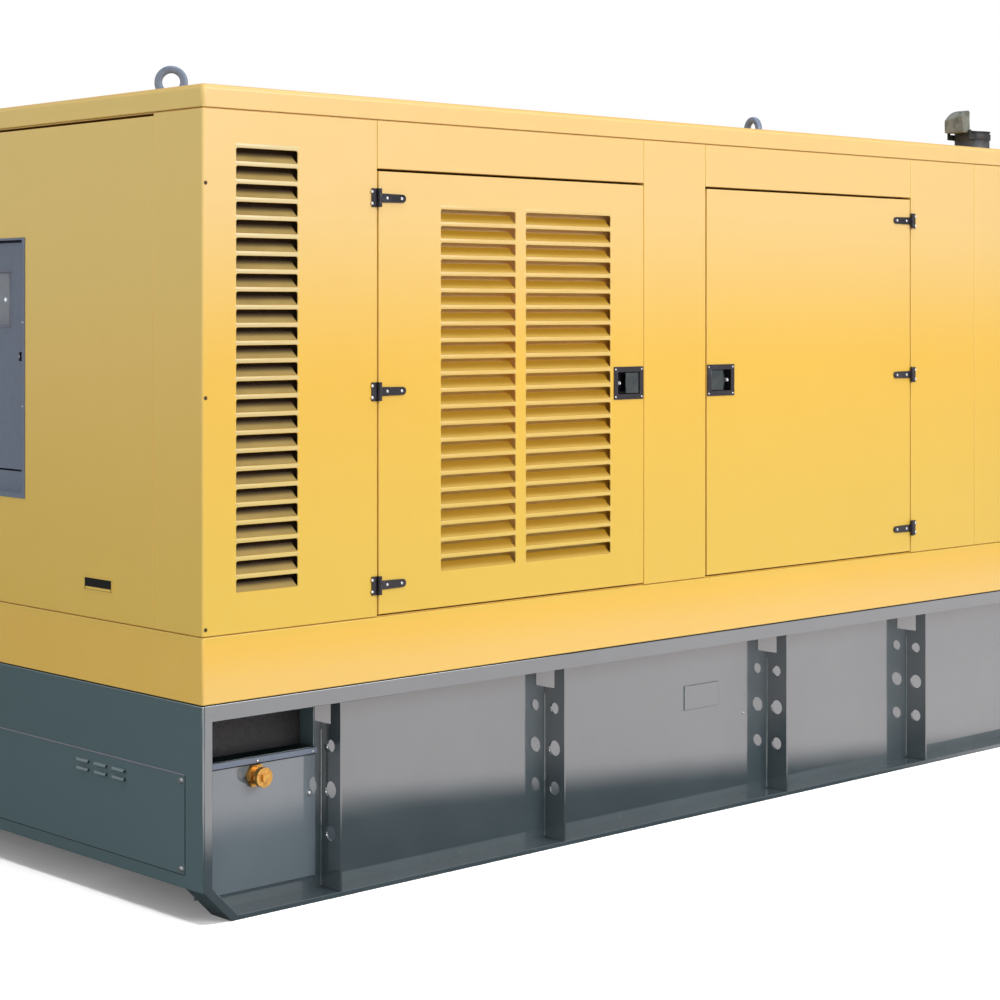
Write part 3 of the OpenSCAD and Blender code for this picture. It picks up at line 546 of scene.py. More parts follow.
class Form:
    """A mesh under construction, in the set's own frame."""

    def __init__(self, name: str, paint: Paint) -> None:
        """Starts an empty mesh.

        Args:
            name: Name of the piece.
            paint: Finish of what is added first.
        """
        self.name = name
        self.bm = bmesh.new()
        self.paints: list[Paint] = []
        self.index = 0
        self.wear(paint)

    def wear(self, paint: Paint) -> "Form":
        """Gives everything that is added from here on another finish.

        Args:
            paint: The finish.

        Returns:
            The form itself.
        """
        if paint not in self.paints:
            self.paints.append(paint)
        self.index = self.paints.index(paint)
        return self

    def claim(self, faces: Iterable[bmesh.types.BMFace], smooth: bool) -> None:
        """Gives faces the present finish and their shading.

        Args:
            faces: Faces that were just added.
            smooth: Whether they are shaded smoothly.
        """
        for face in faces:
            face.material_index = self.index
            face.smooth = smooth

    def soften(self, mesh: bmesh.types.BMesh, edges: Iterable[bmesh.types.BMEdge], width: float) -> None:
        """Rounds edges and shades the rounding smoothly.

        Args:
            mesh: Mesh that the edges belong to.
            edges: Edges to round.
            width: Width of the rounding on either side.
        """
        made = bmesh.ops.bevel(mesh, geom=list(edges), offset=width, offset_type="OFFSET", segments=2,
                               profile=0.5, affect="EDGES", clamp_overlap=True)
        self.claim(made["faces"], True)

    def block(self, low: Sequence[float], high: Sequence[float], edge: float,
              turn: Matrix | None = None) -> "Form":
        """Adds a box with rounded edges.

        Args:
            low: One corner.
            high: The corner opposite it.
            edge: Radius of the edges.
            turn: Turn or move of the finished box.

        Returns:
            The form itself.
        """
        spans = [sorted(pair) for pair in zip(low, high)]
        a, b = Vector([span[0] for span in spans]), Vector([span[1] for span in spans])
        shape = Matrix.Translation((a + b) / 2) @ Matrix.Diagonal((*(b - a), 1))
        verts = bmesh.ops.create_cube(self.bm, size=1, matrix=(turn or Matrix()) @ shape)["verts"]
        faces = list(dict.fromkeys(face for vert in verts for face in vert.link_faces))
        self.claim(faces, False)
        self.soften(self.bm, dict.fromkeys(e for face in faces for e in face.edges), edge)
        return self

    def skin(self, rows: Sequence[Sequence[Vector]], closed: bool = False, smooth: bool = True,
             ends: bool = False) -> "Form":
        """Adds a skin of quads between rows of points.

        Args:
            rows: Rows with the same number of points.
            closed: Whether each row runs round in a ring.
            smooth: Whether the skin is shaded smoothly.
            ends: Whether the first and last row are filled in.

        Returns:
            The form itself.
        """
        verts = [[self.bm.verts.new(p) for p in row] for row in rows]
        count = len(verts[0])
        faces = []
        for one, two in zip(verts, verts[1:]):
            for i in range(count if closed else count - 1):
                j = (i + 1) % count
                faces.append(self.bm.faces.new((one[i], one[j], two[j], two[i])))
        self.claim(faces, smooth)
        if ends:
            self.claim([self.bm.faces.new(verts[0]), self.bm.faces.new(verts[-1])], False)
        return self

    def lathe(self, at: Sequence[float], axis: Sequence[float], profile: Sequence[tuple[float, float]],
              steps: int = 24, smooth: bool = True) -> "Form":
        """Turns a profile round an axis.

        Args:
            at: Point on the axis where the profile's distances start.
            axis: Direction of the axis.
            profile: Pairs of distance along the axis and radius.
            steps: Sides round the axis.
            smooth: Whether the skin is shaded smoothly.

        Returns:
            The form itself.
        """
        turn = Vector((0, 0, 1)).rotation_difference(Vector(axis).normalized()).to_matrix()
        rows = []
        for along, radius in profile:
            ring = [(k + 0.5) * math.tau / steps for k in range(steps)]
            radius = max(radius, 1e-5)
            rows.append([Vector(at) + turn @ Vector((radius * math.cos(t), radius * math.sin(t), along))
                         for t in ring])
        return self.skin(rows, True, smooth, True)

    def tube(self, path: Sequence[Sequence[float]], radius: float | Sequence[float], sides: int = 10,
             loop: bool = False) -> "Form":
        """Sweeps a round section along a path.

        Args:
            path: Points of the path.
            radius: Radius, or one radius for each point.
            sides: Sides of the section.
            loop: Whether the path closes on itself.

        Returns:
            The form itself.
        """
        points = [Vector(p) for p in path]
        count = len(points)
        radii = [radius] * count if isinstance(radius, (int, float)) else list(radius)
        rows, normal = [], None
        for i, point in enumerate(points):
            before = points[i - 1] if i or loop else point
            after = points[(i + 1) % count] if i < count - 1 or loop else point
            along = (after - before).normalized()
            if normal is None:
                normal = along.orthogonal().normalized()
            normal = (normal - along * normal.dot(along)).normalized()
            other = along.cross(normal)
            rows.append([point + (normal * math.cos(k * math.tau / sides) + other * math.sin(k * math.tau / sides))
                         * radii[i] for k in range(sides)])
        if loop:
            rows.append(rows[0])
        return self.skin(rows, True, True, not loop)

    def prism(self, outline: Sequence[tuple[float, float]], place: Callable[[float, float, float], Vector],
              start: float, end: float, edge: float) -> "Form":
        """Pulls an outline straight along a line.

        Args:
            outline: Corners of the outline.
            place: Function of a corner's two numbers and the distance that gives a point.
            start: Distance where the prism starts.
            end: Distance where it ends.
            edge: Radius of its edges.

        Returns:
            The form itself.
        """
        before = set(self.bm.faces)
        self.skin([[place(a, b, d) for a, b in outline] for d in (start, end)], True, False, True)
        faces = [f for f in self.bm.faces if f not in before]
        self.soften(self.bm, dict.fromkeys(e for f in faces for e in f.edges), edge)
        return self

    def screw(self, at: Sequence[float], out: Sequence[float], radius: float, paint: Paint = Paint.ZINC,
              sides: int = 16) -> "Form":
        """Adds a domed screw head with a socket, or a flanged hexagon.

        Args:
            at: Middle of the head's foot.
            out: Direction that the head looks in.
            radius: Radius of the head.
            paint: Finish of the head.
            sides: Sides of the head, which is a hexagon where it is HEXAGON.

        Returns:
            The form itself.
        """
        worn = self.paints[self.index]
        self.wear(paint)
        r = radius
        if sides == HEXAGON:
            self.lathe(at, out, [(-0.001, r * 1.35), (r * 0.2, r * 1.35), (r * 0.3, r * 1.15)], 20)
            self.lathe(at, out, [(r * 0.2, r), (r * 0.85, r), (r, r * 0.85)], HEXAGON, False)
        else:
            self.lathe(at, out, [(-0.001, r), (r * 0.25, r), (r * 0.5, r * 0.8), (r * 0.6, r * 0.5),
                                 (r * 0.3, r * 0.36)], sides)
        return self.wear(worn)

    def copy(self, node: str, edge: float) -> "Form":
        """Adds a node's own solids with their sharp edges rounded.

        Args:
            node: Name of the node.
            edge: Radius of the edges.

        Returns:
            The form itself.
        """
        for solid in solids(node):
            bmesh.ops.dissolve_limit(solid, angle_limit=FLAT_ANGLE, verts=solid.verts, edges=solid.edges)
            self.claim(solid.faces, False)
            for face in solid.faces:
                turned = [e.calc_face_angle(0.0) for e in face.edges if len(e.link_faces) == 2]
                face.smooth = any(FLAT_ANGLE < angle < CURVE_ANGLE for angle in turned)
            sharp = [e for e in solid.edges if len(e.link_faces) == 2 and e.is_convex
                     and e.calc_face_angle(0.0) > ROUNDED_ANGLE]
            self.soften(solid, sharp, edge)
            mesh = bpy.data.meshes.new("solid")
            solid.to_mesh(mesh)
            self.bm.from_mesh(mesh)
            bpy.data.meshes.remove(mesh)
            solid.free()
        return self

    def nudge(self, axis: int, low: float, high: float, by: float) -> "Form":
        """Moves the points that lie between two numbers on an axis along it.

        Args:
            axis: Number of the axis.
            low: Where the moved span starts.
            high: Where it ends.
            by: How far its points move.

        Returns:
            The form itself.
        """
        for vert in self.bm.verts:
            if low < vert.co[axis] < high:
                vert.co[axis] += by
        return self

    def place(self, body: str = "set", replaces: Sequence[str] = ()) -> bpy.types.Object:
        """Turns the form into a piece of the scene.

        Args:
            body: Body that the piece rides on.
            replaces: Nodes that the piece stands for.

        Returns:
            The new object.
        """
        bmesh.ops.recalc_face_normals(self.bm, faces=self.bm.faces)
        for edge in self.bm.edges:
            edge.smooth = edge.calc_face_angle(0.0) < SHADED_ANGLE if len(edge.link_faces) == 2 else True
        mesh = bpy.data.meshes.new(self.name)
        self.bm.to_mesh(mesh)
        self.bm.free()
        for paint in self.paints:
            mesh.materials.append(paint.value.material())
        piece = bpy.data.objects.new(self.name, mesh)
        bpy.context.scene.collection.objects.link(piece)
        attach(piece, body)
        if replaces:
            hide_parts(*replaces)
        LOG.info("%s: %d faces, on %s", self.name, len(mesh.polygons), body)
        return piece


def solids(node: str) -> list[bmesh.types.BMesh]:
    """Splits a node's mesh into its separate solids, welded.

    Args:
        node: Name of the node.

    Returns:
        A mesh for each solid, in the order of their first points.
    """
    whole = bmesh.new()
    whole.from_mesh(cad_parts[node].data)
    bmesh.ops.remove_doubles(whole, verts=whole.verts, dist=1e-5)
    seen: set[bmesh.types.BMVert] = set()
    parts = []
    for first in whole.verts:
        if first in seen:
            continue
        seen.add(first)
        group = [first]
        for vert in group:
            for edge in vert.link_edges:
                other = edge.other_vert(vert)
                if other not in seen:
                    seen.add(other)
                    group.append(other)
        part = bmesh.new()
        made = {vert: part.verts.new(vert.co) for vert in group}
        for face in dict.fromkeys(face for vert in group for face in vert.link_faces):
            part.faces.new([made[vert] for vert in face.verts])
        parts.append(part)
    whole.free()
    return parts


def turns(count: int) -> list[float]:
    """Returns so many even turns round a circle, in radians."""
    return [k * math.tau / count for k in range(count)]


def squared(part: float, power: float) -> float:
    """Returns a sine or cosine pushed out towards a square's side, the more the lower the power."""
    return math.copysign(abs(part) ** power, part)


def corner_ring(inset: float, radius: float, height: float) -> list[Vector]:
    """Draws a level ring round the canopy with rounded corners.

    Args:
        inset: How far the middles of the corners' arcs lie in from the walls.
        radius: Radius of the corners.
        height: Height of the ring.

    Returns:
        The ring's points, with the same number at each corner.
    """
    ring = []
    for sx, sy, start in ((1, -1, 270), (1, 1, 0), (-1, 1, 90), (-1, -1, 180)):
        for turn in (math.radians(start + degrees) for degrees in range(0, 91, 15)):
            ring.append(Vector((sx * (HALF_L - inset) + radius * math.cos(turn),
                                sy * (HALF_W - inset) + radius * math.sin(turn), height)))
    return ring


# ---------------------------------------------------------------- sheet-metal panels


class Wall(Enum):
    """The four walls of the canopy; each value is the axis it runs along and the side it faces."""

    NEAR = (0, -1)
    FAR = (0, 1)
    CONTROL = (1, -1)
    RADIATOR = (1, 1)

    def point(self, along: float, depth: float, height: float) -> Vector:
        """Finds a point by its place on the wall.

        Args:
            along: Where it is along the wall's axis.
            depth: How far in from the wall's face it lies.
            height: How high above the ground it is.

        Returns:
            The point.
        """
        axis, side = self.value
        if axis == 0:
            return Vector((along, side * (HALF_W - depth), height))
        return Vector((side * (HALF_L - depth), along, height))

    def out(self) -> Vector:
        """Returns the outward direction."""
        axis, side = self.value
        return Vector((0, side, 0)) if axis == 0 else Vector((side, 0, 0))


@dataclass(frozen=True)
class Station:
    """One upright line of a panel's folded plan: its foot on the outer face and where it goes inside."""

    foot: Vector
    inward: Vector
    depth: float
    deep: Vector

    def at(self, depth: float, height: float) -> Vector:
        """Returns the point of the line at a height, at least so deep."""
        flat = self.deep if depth >= PANEL_T else self.foot + self.inward * max(self.depth, depth)
        return Vector((flat.x, flat.y, height))


@dataclass(frozen=True)
class Louvres:
    """A column of pressed slots, from left to right and upwards from the first slot's foot.

    Each slot has a blade, which starts at the sheet's thickness, runs in by its depth and climbs, and
    a lip above it, which bulges out.
    """

    left: float
    right: float
    foot: float
    count: int
    pitch: float = 0.0528
    height: float = 0.04
    blade: Paint = Paint.BLADE
    lip: Paint = Paint.LIP
    sheet: float = 0.0012
    depth: float = 0.0185
    climb: float = 0.0255
    bulge: float = 0.0012

    def slots(self) -> list[float]:
        """Returns the height of each slot's foot."""
        return [self.foot + i * self.pitch for i in range(self.count)]

    def blade_line(self, share: float) -> Triple:
        """Finds one line along a blade.

        Args:
            share: How far in from the blade's outer edge it lies, from 0 to 1.

        Returns:
            Its depth, its rise above the slot's foot, and its gap to the slot's ends.
        """
        curve = (1 - math.cos(share * 1.3)) / (1 - math.cos(1.3))
        return (self.sheet + self.depth * math.sin(share * 1.15) / math.sin(1.15),
                self.sheet + self.climb * (curve * 0.45 + share * 0.55), 0.0015 + 0.008 * share ** 1.5)


@dataclass
class SheetPanel:
    """A sheet-metal panel with folded edges, and louvres pressed into it."""

    wall: Wall
    left: float
    right: float
    low: float
    high: float
    louvres: Sequence[Louvres] = ()
    windows: Sequence[tuple[float, float, float, float]] = ()
    fold: float = 0.0028
    corner: float = 0.007
    steps: int = 4
    paint: Paint = Paint.YELLOW

    def bend(self) -> list[tuple[float, float]]:
        """Returns how far in and how deep the lines of a fold lie, from the side to the face."""
        quarter = [k / self.steps * math.pi / 2 for k in range(self.steps + 1)]
        return [(self.fold * (1 - math.cos(t)), self.fold * (1 - math.sin(t))) for t in quarter]

    def edge(self, at: float, inward: float) -> list[Station]:
        """Finds the stations of a folded upright edge.

        Args:
            at: Where the edge is along the wall.
            inward: 1 where the panel lies towards higher numbers, -1 where towards lower ones.

        Returns:
            Stations from the panel's back to its face.
        """
        into = -self.wall.out()
        return [Station(self.wall.point(at + inward * inset, 0, 0), into, depth,
                        self.wall.point(at + inward * inset, PANEL_T, 0))
                for inset, depth in [(0.0, PANEL_T)] + self.bend()]

    def levels(self) -> list[tuple[float, float]]:
        """Lists the levels of the folded lower edge, the face and the folded upper edge.

        Returns:
            Pairs of depth and height, upwards.
        """
        bend = self.bend()
        low = [(PANEL_T, self.low)] + [(depth, self.low + rise) for rise, depth in bend]
        high = [(depth, self.high - rise) for rise, depth in reversed(bend)] + [(PANEL_T, self.high)]
        return low + high

    def add(self, form: Form) -> Form:
        """Adds the panel to a form.

        Args:
            form: Form that the panel is added to.

        Returns:
            The form.
        """
        plan = self.edge(self.left, 1) + self.edge(self.right, -1)[::-1]
        self.fill(form, plan, len(plan) // 2 - 1)
        return form

    def fill(self, form: Form, plan: Sequence[Station], flat: int) -> None:
        """Adds the folded skin over a plan, with the louvres in one of its flats.

        Args:
            form: Form that the skin is added to.
            plan: Stations along the panel.
            flat: Number of the station where the louvred flat starts, on this panel's wall.
        """
        levels = self.levels()
        middle = len(levels) // 2 - 1
        rows = [[station.at(depth, height) for station in plan] for depth, height in levels]
        if not (self.louvres or self.windows):
            form.skin(rows)
            self.flatten(form)
            return
        form.skin(rows[: middle + 1])
        form.skin(rows[middle + 1 :])
        pair = rows[middle : middle + 2]
        form.skin([row[: flat + 1] for row in pair])
        form.skin([row[flat + 1 :] for row in pair])
        axis = self.wall.value[0]
        ends = sorted((pair[0][flat][axis], pair[0][flat + 1][axis]))
        self.pierce(form, ends, (pair[0][0].z, pair[1][0].z))
        self.flatten(form)

    @staticmethod
    def flatten(form: Form) -> None:
        """Shades the large flat faces flat and leaves the folds smooth.

        Args:
            form: Form of one panel or more.
        """
        for face in form.bm.faces:
            if face.smooth and face.calc_area() > 0.004 and min(e.calc_length() for e in face.edges) > 0.03:
                face.smooth = False

    def pierce(self, form: Form, across: Sequence[float], up: Sequence[float]) -> None:
        """Fills the louvred flat with a face that has a hole for each slot, and adds the blades.

        Args:
            form: Form that the face is added to.
            across: Ends of the flat along the wall.
            up: Foot and head of the flat.
        """
        margin = 0.012
        edges = [across[0]]
        for column in self.louvres:
            edges += [column.left - margin, column.right + margin]
        edges.append(across[1])
        for i in range(0, len(edges), 2):
            self.flat(form, edges[i], edges[i + 1], up[0], up[1])
        for column in self.louvres:
            left, right = column.left - margin, column.right + margin
            half = (column.pitch - column.height) / 2
            tops = [column.foot - half] + [foot + column.height + half for foot in column.slots()]
            self.flat(form, left, right, up[0], tops[0])
            self.flat(form, left, right, tops[-1], up[1])
            for foot, low in zip(column.slots(), tops):
                self.slot(form, column, foot, (left, right, low, low + column.pitch))

    def flat(self, form: Form, left: float, right: float, low: float, high: float) -> None:
        """Adds a plain rectangle of the face, round the windows that lie in it.

        Args:
            form: Form that it is added to.
            left: Its left end along the wall.
            right: Its right end.
            low: Its foot.
            high: Its head.
        """
        for near, away, sill, head in self.windows:
            if left < near and away < right and low < sill and head < high:
                for part in ((left, near, low, high), (away, right, low, high), (near, away, low, sill),
                             (near, away, head, high)):
                    self.flat(form, *part)
                ring = [(near, sill), (away, sill), (away, head), (near, head)]
                form.skin([[self.wall.point(u, depth, w) for u, w in ring] for depth in (0, 0.012)], True, False)
                return
        points = [(left, low), (right, low), (right, high), (left, high)]
        verts = [form.bm.verts.new(self.wall.point(u, 0, w)) for u, w in points]
        form.claim([form.bm.faces.new(verts)], False)

    def slot(self, form: Form, column: Louvres, foot: float, cell: Sequence[float]) -> None:
        """Adds one cell of the face with its hole, the hole's rolled edge and the blade inside.

        Args:
            form: Form that the cell is added to.
            column: Column of the slot.
            foot: Height of the slot's foot.
            cell: Left, right, foot and head of the cell.
        """
        wall = self.wall
        hole = self.opening(column.left, column.right, foot, foot + column.height)
        left, right, low, high = cell
        outer = [(left, low), (right, low), (right, high), (left, high)]
        loops = [[Vector((u, w, 0)) for u, w in outer], [Vector((u, w, 0)) for u, w in hole]]
        verts = [form.bm.verts.new(wall.point(u, 0, w)) for u, w in outer + hole]
        faces = [form.bm.faces.new([verts[i] for i in tri]) for tri in tessellate_polygon(loops)]
        form.claim(faces, False)
        rows = []
        for depth, shrink in ((0.0, 0.0), (0.0007, 0.0006), (0.003, 0.0009)):
            ring = self.opening(column.left + shrink, column.right - shrink, foot + shrink,
                                foot + column.height - shrink)
            rows.append([wall.point(u, depth, w) for u, w in ring])
        form.skin(rows, True)
        # Blades wear the blade paint, with its painted shade.
        form.wear(column.blade)
        rows = []
        for depth, rise, gap in (column.blade_line(k / 6) for k in range(7)):
            rows.append([wall.point(column.left + gap, depth, foot + rise),
                         wall.point(column.right - gap, depth, foot + rise)])
        form.skin(rows)
        # Lips wear the lip paint, a painted highlight.
        form.wear(column.lip)
        rows = []
        low, high = foot + column.height + 0.0005, foot + column.pitch - 0.0005
        face = -0.0001
        for k in range(6):
            bulge = column.bulge * math.sin(k / 5 * math.pi)
            height = low + (high - low) * k / 5
            rows.append([wall.point(column.left - 0.002, face, height),
                         wall.point(column.left, face - bulge, height),
                         wall.point(column.right, face - bulge, height),
                         wall.point(column.right + 0.002, face, height)])
        form.skin(rows)
        form.wear(self.paint)

    @staticmethod
    def opening(left: float, right: float, low: float, high: float, upper: float = 0.007,
                lower: float = 0.003) -> list[tuple[float, float]]:
        """Draws a rectangle with rounded corners, larger ones above.

        Args:
            left: Its left end.
            right: Its right end.
            low: Its foot.
            high: Its head.
            upper: Radius of the upper corners.
            lower: Radius of the lower corners.

        Returns:
            Its points, anticlockwise.
        """
        found = []
        for u, w, radius, start in ((right, low, lower, -90), (right, high, upper, 0), (left, high, upper, 90),
                                    (left, low, lower, 180)):
            cu = u - radius if u == right else u + radius
            cw = w - radius if w == high else w + radius
            for k in range(4):
                turn = math.radians(start + 30 * k)
                found.append((cu + radius * math.cos(turn), cw + radius * math.sin(turn)))
        return found


@dataclass
class CornerPanel(SheetPanel):
    """A side panel that folds round the canopy's corner into the end post, in one piece."""

    end: Wall = Wall.CONTROL

    def add(self, form: Form) -> Form:
        """Adds the panel to a form.

        Args:
            form: Form that the panel is added to.

        Returns:
            The form.
        """
        side, end = self.wall.value[1], self.end.value[1]
        seam = self.right if end < 0 else self.left
        plan = self.edge(seam, end)
        flat = len(plan) - 1
        corner = Vector((end * HALF_L, side * HALF_W, 0))
        middle = corner - Vector((end, side, 0)) * self.corner
        deep = corner - Vector((end, side, 0)) * PANEL_T
        for k in range(self.steps * 2 + 1):
            turn = k / (self.steps * 2) * math.pi / 2
            out = Vector((end * math.sin(turn), side * math.cos(turn), 0))
            plan.append(Station(middle + out * self.corner, -out, 0.0, deep))
        face = SheetPanel(self.end, 0, 0, 0, 0, fold=self.fold, steps=self.steps)
        plan += face.edge(side * (END_SEAM + SEAM / 2), side)[::-1]
        self.fill(form, plan, flat)
        return form


# ---------------------------------------------------------------- canopy


class Assembly:
    """A sub-assembly of the set, which main builds."""

    def build(self) -> None:
        """Builds the sub-assembly's pieces."""
        raise NotImplementedError


@dataclass
class Canopy(Assembly):
    """Walls, roof and skirt of the canopy, with the gaps between their sheets."""

    door_spans: Sequence[tuple[float, float]] = ((-2.24, -1.04), (-0.722, 0.478))
    posts: Sequence[tuple[float, float]] = ((-1.04, -0.722), (0.478, 0.9))
    plain: tuple[float, float] = (0.9, 2.24)
    seams: Sequence[float] = (-2.24, 2.24, -1.04, -0.722, 0.478, 0.9)
    door_gap: tuple[float, float] = (-1.0464, -1.0396)
    control_opening: tuple[float, float, float, float] = (-0.0255, 0.678, 1.189, 2.0165)
    pull_slot: tuple[float, float, float, float] = (-0.527, -0.379, 0.928, 0.964)
    outlets: Sequence[float] = (-0.46, 0.0, 0.46)
    header: float = 2.228
    corner_slots: tuple[float, float] = (0.12, 0.35)
    roof_edge: float = 2.45
    roof_bevel: float = 0.016
    roof_crown: float = 0.025
    roof_slope: float = 0.3
    roof_strips: Sequence[float] = (-1.45, 0.0, 1.45)
    plug_heights: Sequence[float] = (0.862, 1.535, 2.16)

    def build(self) -> None:
        """Builds every part of the canopy's shell."""
        self.skirt()
        self.corners()
        self.sides()
        self.control_end()
        self.radiator_end()
        self.roof()
        self.seals()
        self.plugs()

    def skirt(self) -> None:
        """Builds the ring of sheet between the base and the walls."""
        form = Form("skirt_ring", Paint.YELLOW)
        low, high = BASE_TOP + 0.003, WALL_FOOT - 0.0005
        radius, fold, back, least = 0.007, 0.003, 0.03, 0.0005
        levels = [(back, low), (fold, low), (fold * 0.3, low + fold * 0.3), (0, low + fold),
                  (0, high - fold), (fold * 0.3, high - fold * 0.3), (fold, high), (back, high)]
        form.skin([corner_ring(max(radius, depth + least), max(radius - depth, least), height)
                   for depth, height in levels], True)
        SheetPanel.flatten(form)
        form.place(replaces=("skirt_sides", "skirt_ends"))

    def corners(self) -> None:
        """Builds the four louvred corner panels, the end posts that they fold into, and their baffles."""
        panels = Form("corner_panels", Paint.YELLOW)
        baffles = Form("louvre_baffles", Paint.BAFFLE)
        for wall in (Wall.NEAR, Wall.FAR):
            for end in (Wall.CONTROL, Wall.RADIATOR):
                sign = end.value[1]
                left, right = sorted(sign * (HALF_L - s) for s in self.corner_slots)
                louvres = [Louvres(left, right, 0.961, 25)]
                left, right = sorted((sign * (self.plain[1] + SEAM / 2), sign * HALF_L))
                CornerPanel(wall, left, right, SHEET_LOW, SIDE_HIGH, louvres, end=end).add(panels)
                baffles.block(wall.point(sign * (HALF_L - 0.08), PANEL_T + 0.002, 0.9),
                              wall.point(sign * (HALF_L - 0.45), PANEL_T + 0.025, 2.34), 0.004)
        panels.place(replaces=("louvre_panels_near", "louvre_panels_far", "end_posts"))
        baffles.place()

    def sides(self) -> None:
        """Builds the posts, headers and plain panels of both long sides."""
        posts = Form("side_posts_sheet", Paint.YELLOW)
        headers = Form("door_headers_sheet", Paint.YELLOW)
        panels = Form("plain_side_panels", Paint.YELLOW)
        sheets = [(posts, span, SHEET_LOW) for span in self.posts]
        sheets += [(headers, span, self.header + 0.0005) for span in self.door_spans]
        sheets.append((panels, self.plain, SHEET_LOW))
        for wall in (Wall.NEAR, Wall.FAR):
            for form, (left, right), low in sheets:
                SheetPanel(wall, left + SEAM / 2, right - SEAM / 2, low, SIDE_HIGH).add(form)
        posts.place(replaces=("side_posts",))
        headers.place(replaces=("door_headers",))
        panels.place(replaces=("side_panels",))

    def control_end(self) -> None:
        """Builds the control end's sheet round the control box, with its pull slot and round cover."""
        form = Form("control_end_sheet", Paint.YELLOW)
        SheetPanel(Wall.CONTROL, SEAM - END_SEAM, END_SEAM - SEAM, SHEET_LOW, END_HIGH,
                   windows=(self.control_opening,)).add(form)
        form.place(replaces=("control_end_panel",))
        # The slot is a thin dark block on the sheet's face: painted shade in place of a shaded opening.
        slot = Form("pull_slot", Paint.RUBBER)
        face = -HALF_L - 0.0006
        y0, y1, z0, z1 = self.pull_slot
        slot.block((face, y0, z0), (face + 0.003, y1, z1), 0.0004)
        slot.wear(Paint.YELLOW)
        self.raised_lip(slot, face, self.pull_slot, 0.006)
        slot.block((face - 0.0003, y0 + 0.004, z0 + 0.001), (face + 0.0004, y1 - 0.004, z0 + 0.009), 0.0002)
        slot.place()
        cover = Form("round_cover", Paint.CONTROL)
        cover.lathe((-HALF_L, 0.15, 0.93), (-1, 0, 0), [(-0.001, 0.021), (0.0015, 0.021), (0.003, 0.018),
                                                       (0.0032, 0.008), (0.0022, 0.0)], 32)
        cover.place()

    @staticmethod
    def raised_lip(form: Form, face: float, span: Sequence[float], width: float) -> None:
        """Adds a thin raised lip round a slot in the control end.

        Args:
            form: Form that the lip is added to.
            face: Where the sheet's face is.
            span: Left, right, foot and head of the slot.
            width: Width of the lip.
        """
        y0, y1, z0, z1 = span
        for low, high in (((y0 - width, z1), (y1 + width, z1 + width)), ((y0 - width, z0 - width), (y1 + width, z0)),
                          ((y0 - width, z0), (y0, z1)), ((y1, z0), (y1 + width, z1))):
            form.block((face - 0.0012, *low), (face + 0.002, *high), 0.0008)

    def radiator_end(self) -> None:
        """Builds the radiator end panel with its columns of outlet louvres, and the guard behind them."""
        columns = [Louvres(middle - 0.2, middle + 0.2, 0.968, 25) for middle in self.outlets]
        form = Form("radiator_end_sheet", Paint.YELLOW)
        SheetPanel(Wall.RADIATOR, SEAM - END_SEAM, END_SEAM - SEAM, SHEET_LOW, END_HIGH, columns).add(form)
        form.place(replaces=("radiator_end_panel",))
        guard = Form("outlet_guard", Paint.PLASTIC)
        guard.block(Wall.RADIATOR.point(-0.72, PANEL_T + 0.03, 0.9),
                    Wall.RADIATOR.point(0.72, PANEL_T + 0.004, 2.34), 0.004)
        guard.place()

    def roof(self) -> None:
        """Builds the roof: a folded edge, a bevel, a sloping crown and a flat top with its seams."""
        form = Form("roof_sheet", Paint.YELLOW)
        bevel, top, crown = self.roof_bevel, self.roof_edge, self.roof_edge + self.roof_crown
        levels = [(0.03, WALL_TOP + 0.0004), (0.004, WALL_TOP + 0.0004), (0.001, WALL_TOP + 0.0015),
                  (0, WALL_TOP + 0.004), (0, top - bevel)]
        levels += [(bevel * (1 - math.cos(t)), top - bevel + bevel * math.sin(t))
                   for t in (math.radians(d) for d in (15, 30, 45, 60, 75, 90))]
        levels += [(self.roof_slope - 0.01, crown - 0.0008), (self.roof_slope + 0.01, crown - 0.0002)]
        rows = []
        for inset, height in levels:
            radius = 0.012 if inset < 0.02 else 0.002
            rows.append(corner_ring(inset + radius, radius, height))
        form.skin(rows, True)
        form.claim([form.bm.faces.new(list(form.bm.verts)[-len(rows[-1]) :])], False)
        SheetPanel.flatten(form)
        for x in self.roof_strips:
            form.block((x - 0.02, -0.66, top + 0.023), (x + 0.02, 0.66, top + 0.0278), 0.0012)
        form.place(replaces=("roof",))
        under = Form("roof_lining", Paint.FOAM)
        under.block((-2.84, -0.94, WALL_TOP - 0.03), (2.84, 0.94, WALL_TOP + 0.02), 0.006)
        under.place()

    def seals(self) -> None:
        """Builds the dark strips behind the seams, and yellow ones where only a fine line shows."""
        form = Form("seam_seals", Paint.RUBBER)
        behind = PANEL_T + 0.0005
        for wall in (Wall.NEAR, Wall.FAR):
            for at in self.seams:
                self.strip(form, wall, at - 0.012, at + 0.012, WALL_FOOT, WALL_TOP, behind)
            for left, right in self.door_spans:
                self.strip(form, wall, left, right, self.header - 0.03, self.header + 0.01, behind)
            form.wear(Paint.YELLOW)
            self.strip(form, wall, *self.door_gap, 0.848, 2.22, 0.004)
            form.wear(Paint.RUBBER)
        for wall in (Wall.CONTROL, Wall.RADIATOR):
            self.strip(form, wall, -END_SEAM, END_SEAM, WALL_TOP - 0.02, WALL_TOP, behind)
            form.wear(Paint.YELLOW)
            for at in (-END_SEAM, END_SEAM):
                self.strip(form, wall, at - 0.004, at + 0.004, WALL_FOOT + 0.002, WALL_TOP - 0.012, 0.0016)
            form.wear(Paint.RUBBER)
        for paint, height, inset in ((Paint.RUBBER, BASE_TOP, 0.006), (Paint.YELLOW, WALL_FOOT - 0.001, 0.008),
                                     (Paint.YELLOW, WALL_TOP - 0.003, 0.008)):
            form.wear(paint)
            for side in SIDES:
                form.block((-HALF_L + PANEL_T, side * (HALF_W - inset), height),
                           (HALF_L - PANEL_T, side * (HALF_W - PANEL_T), height + 0.003), 0.0005)
                form.block((side * (HALF_L - inset), -HALF_W + inset, height),
                           (side * (HALF_L - PANEL_T), HALF_W - inset, height + 0.003), 0.0005)
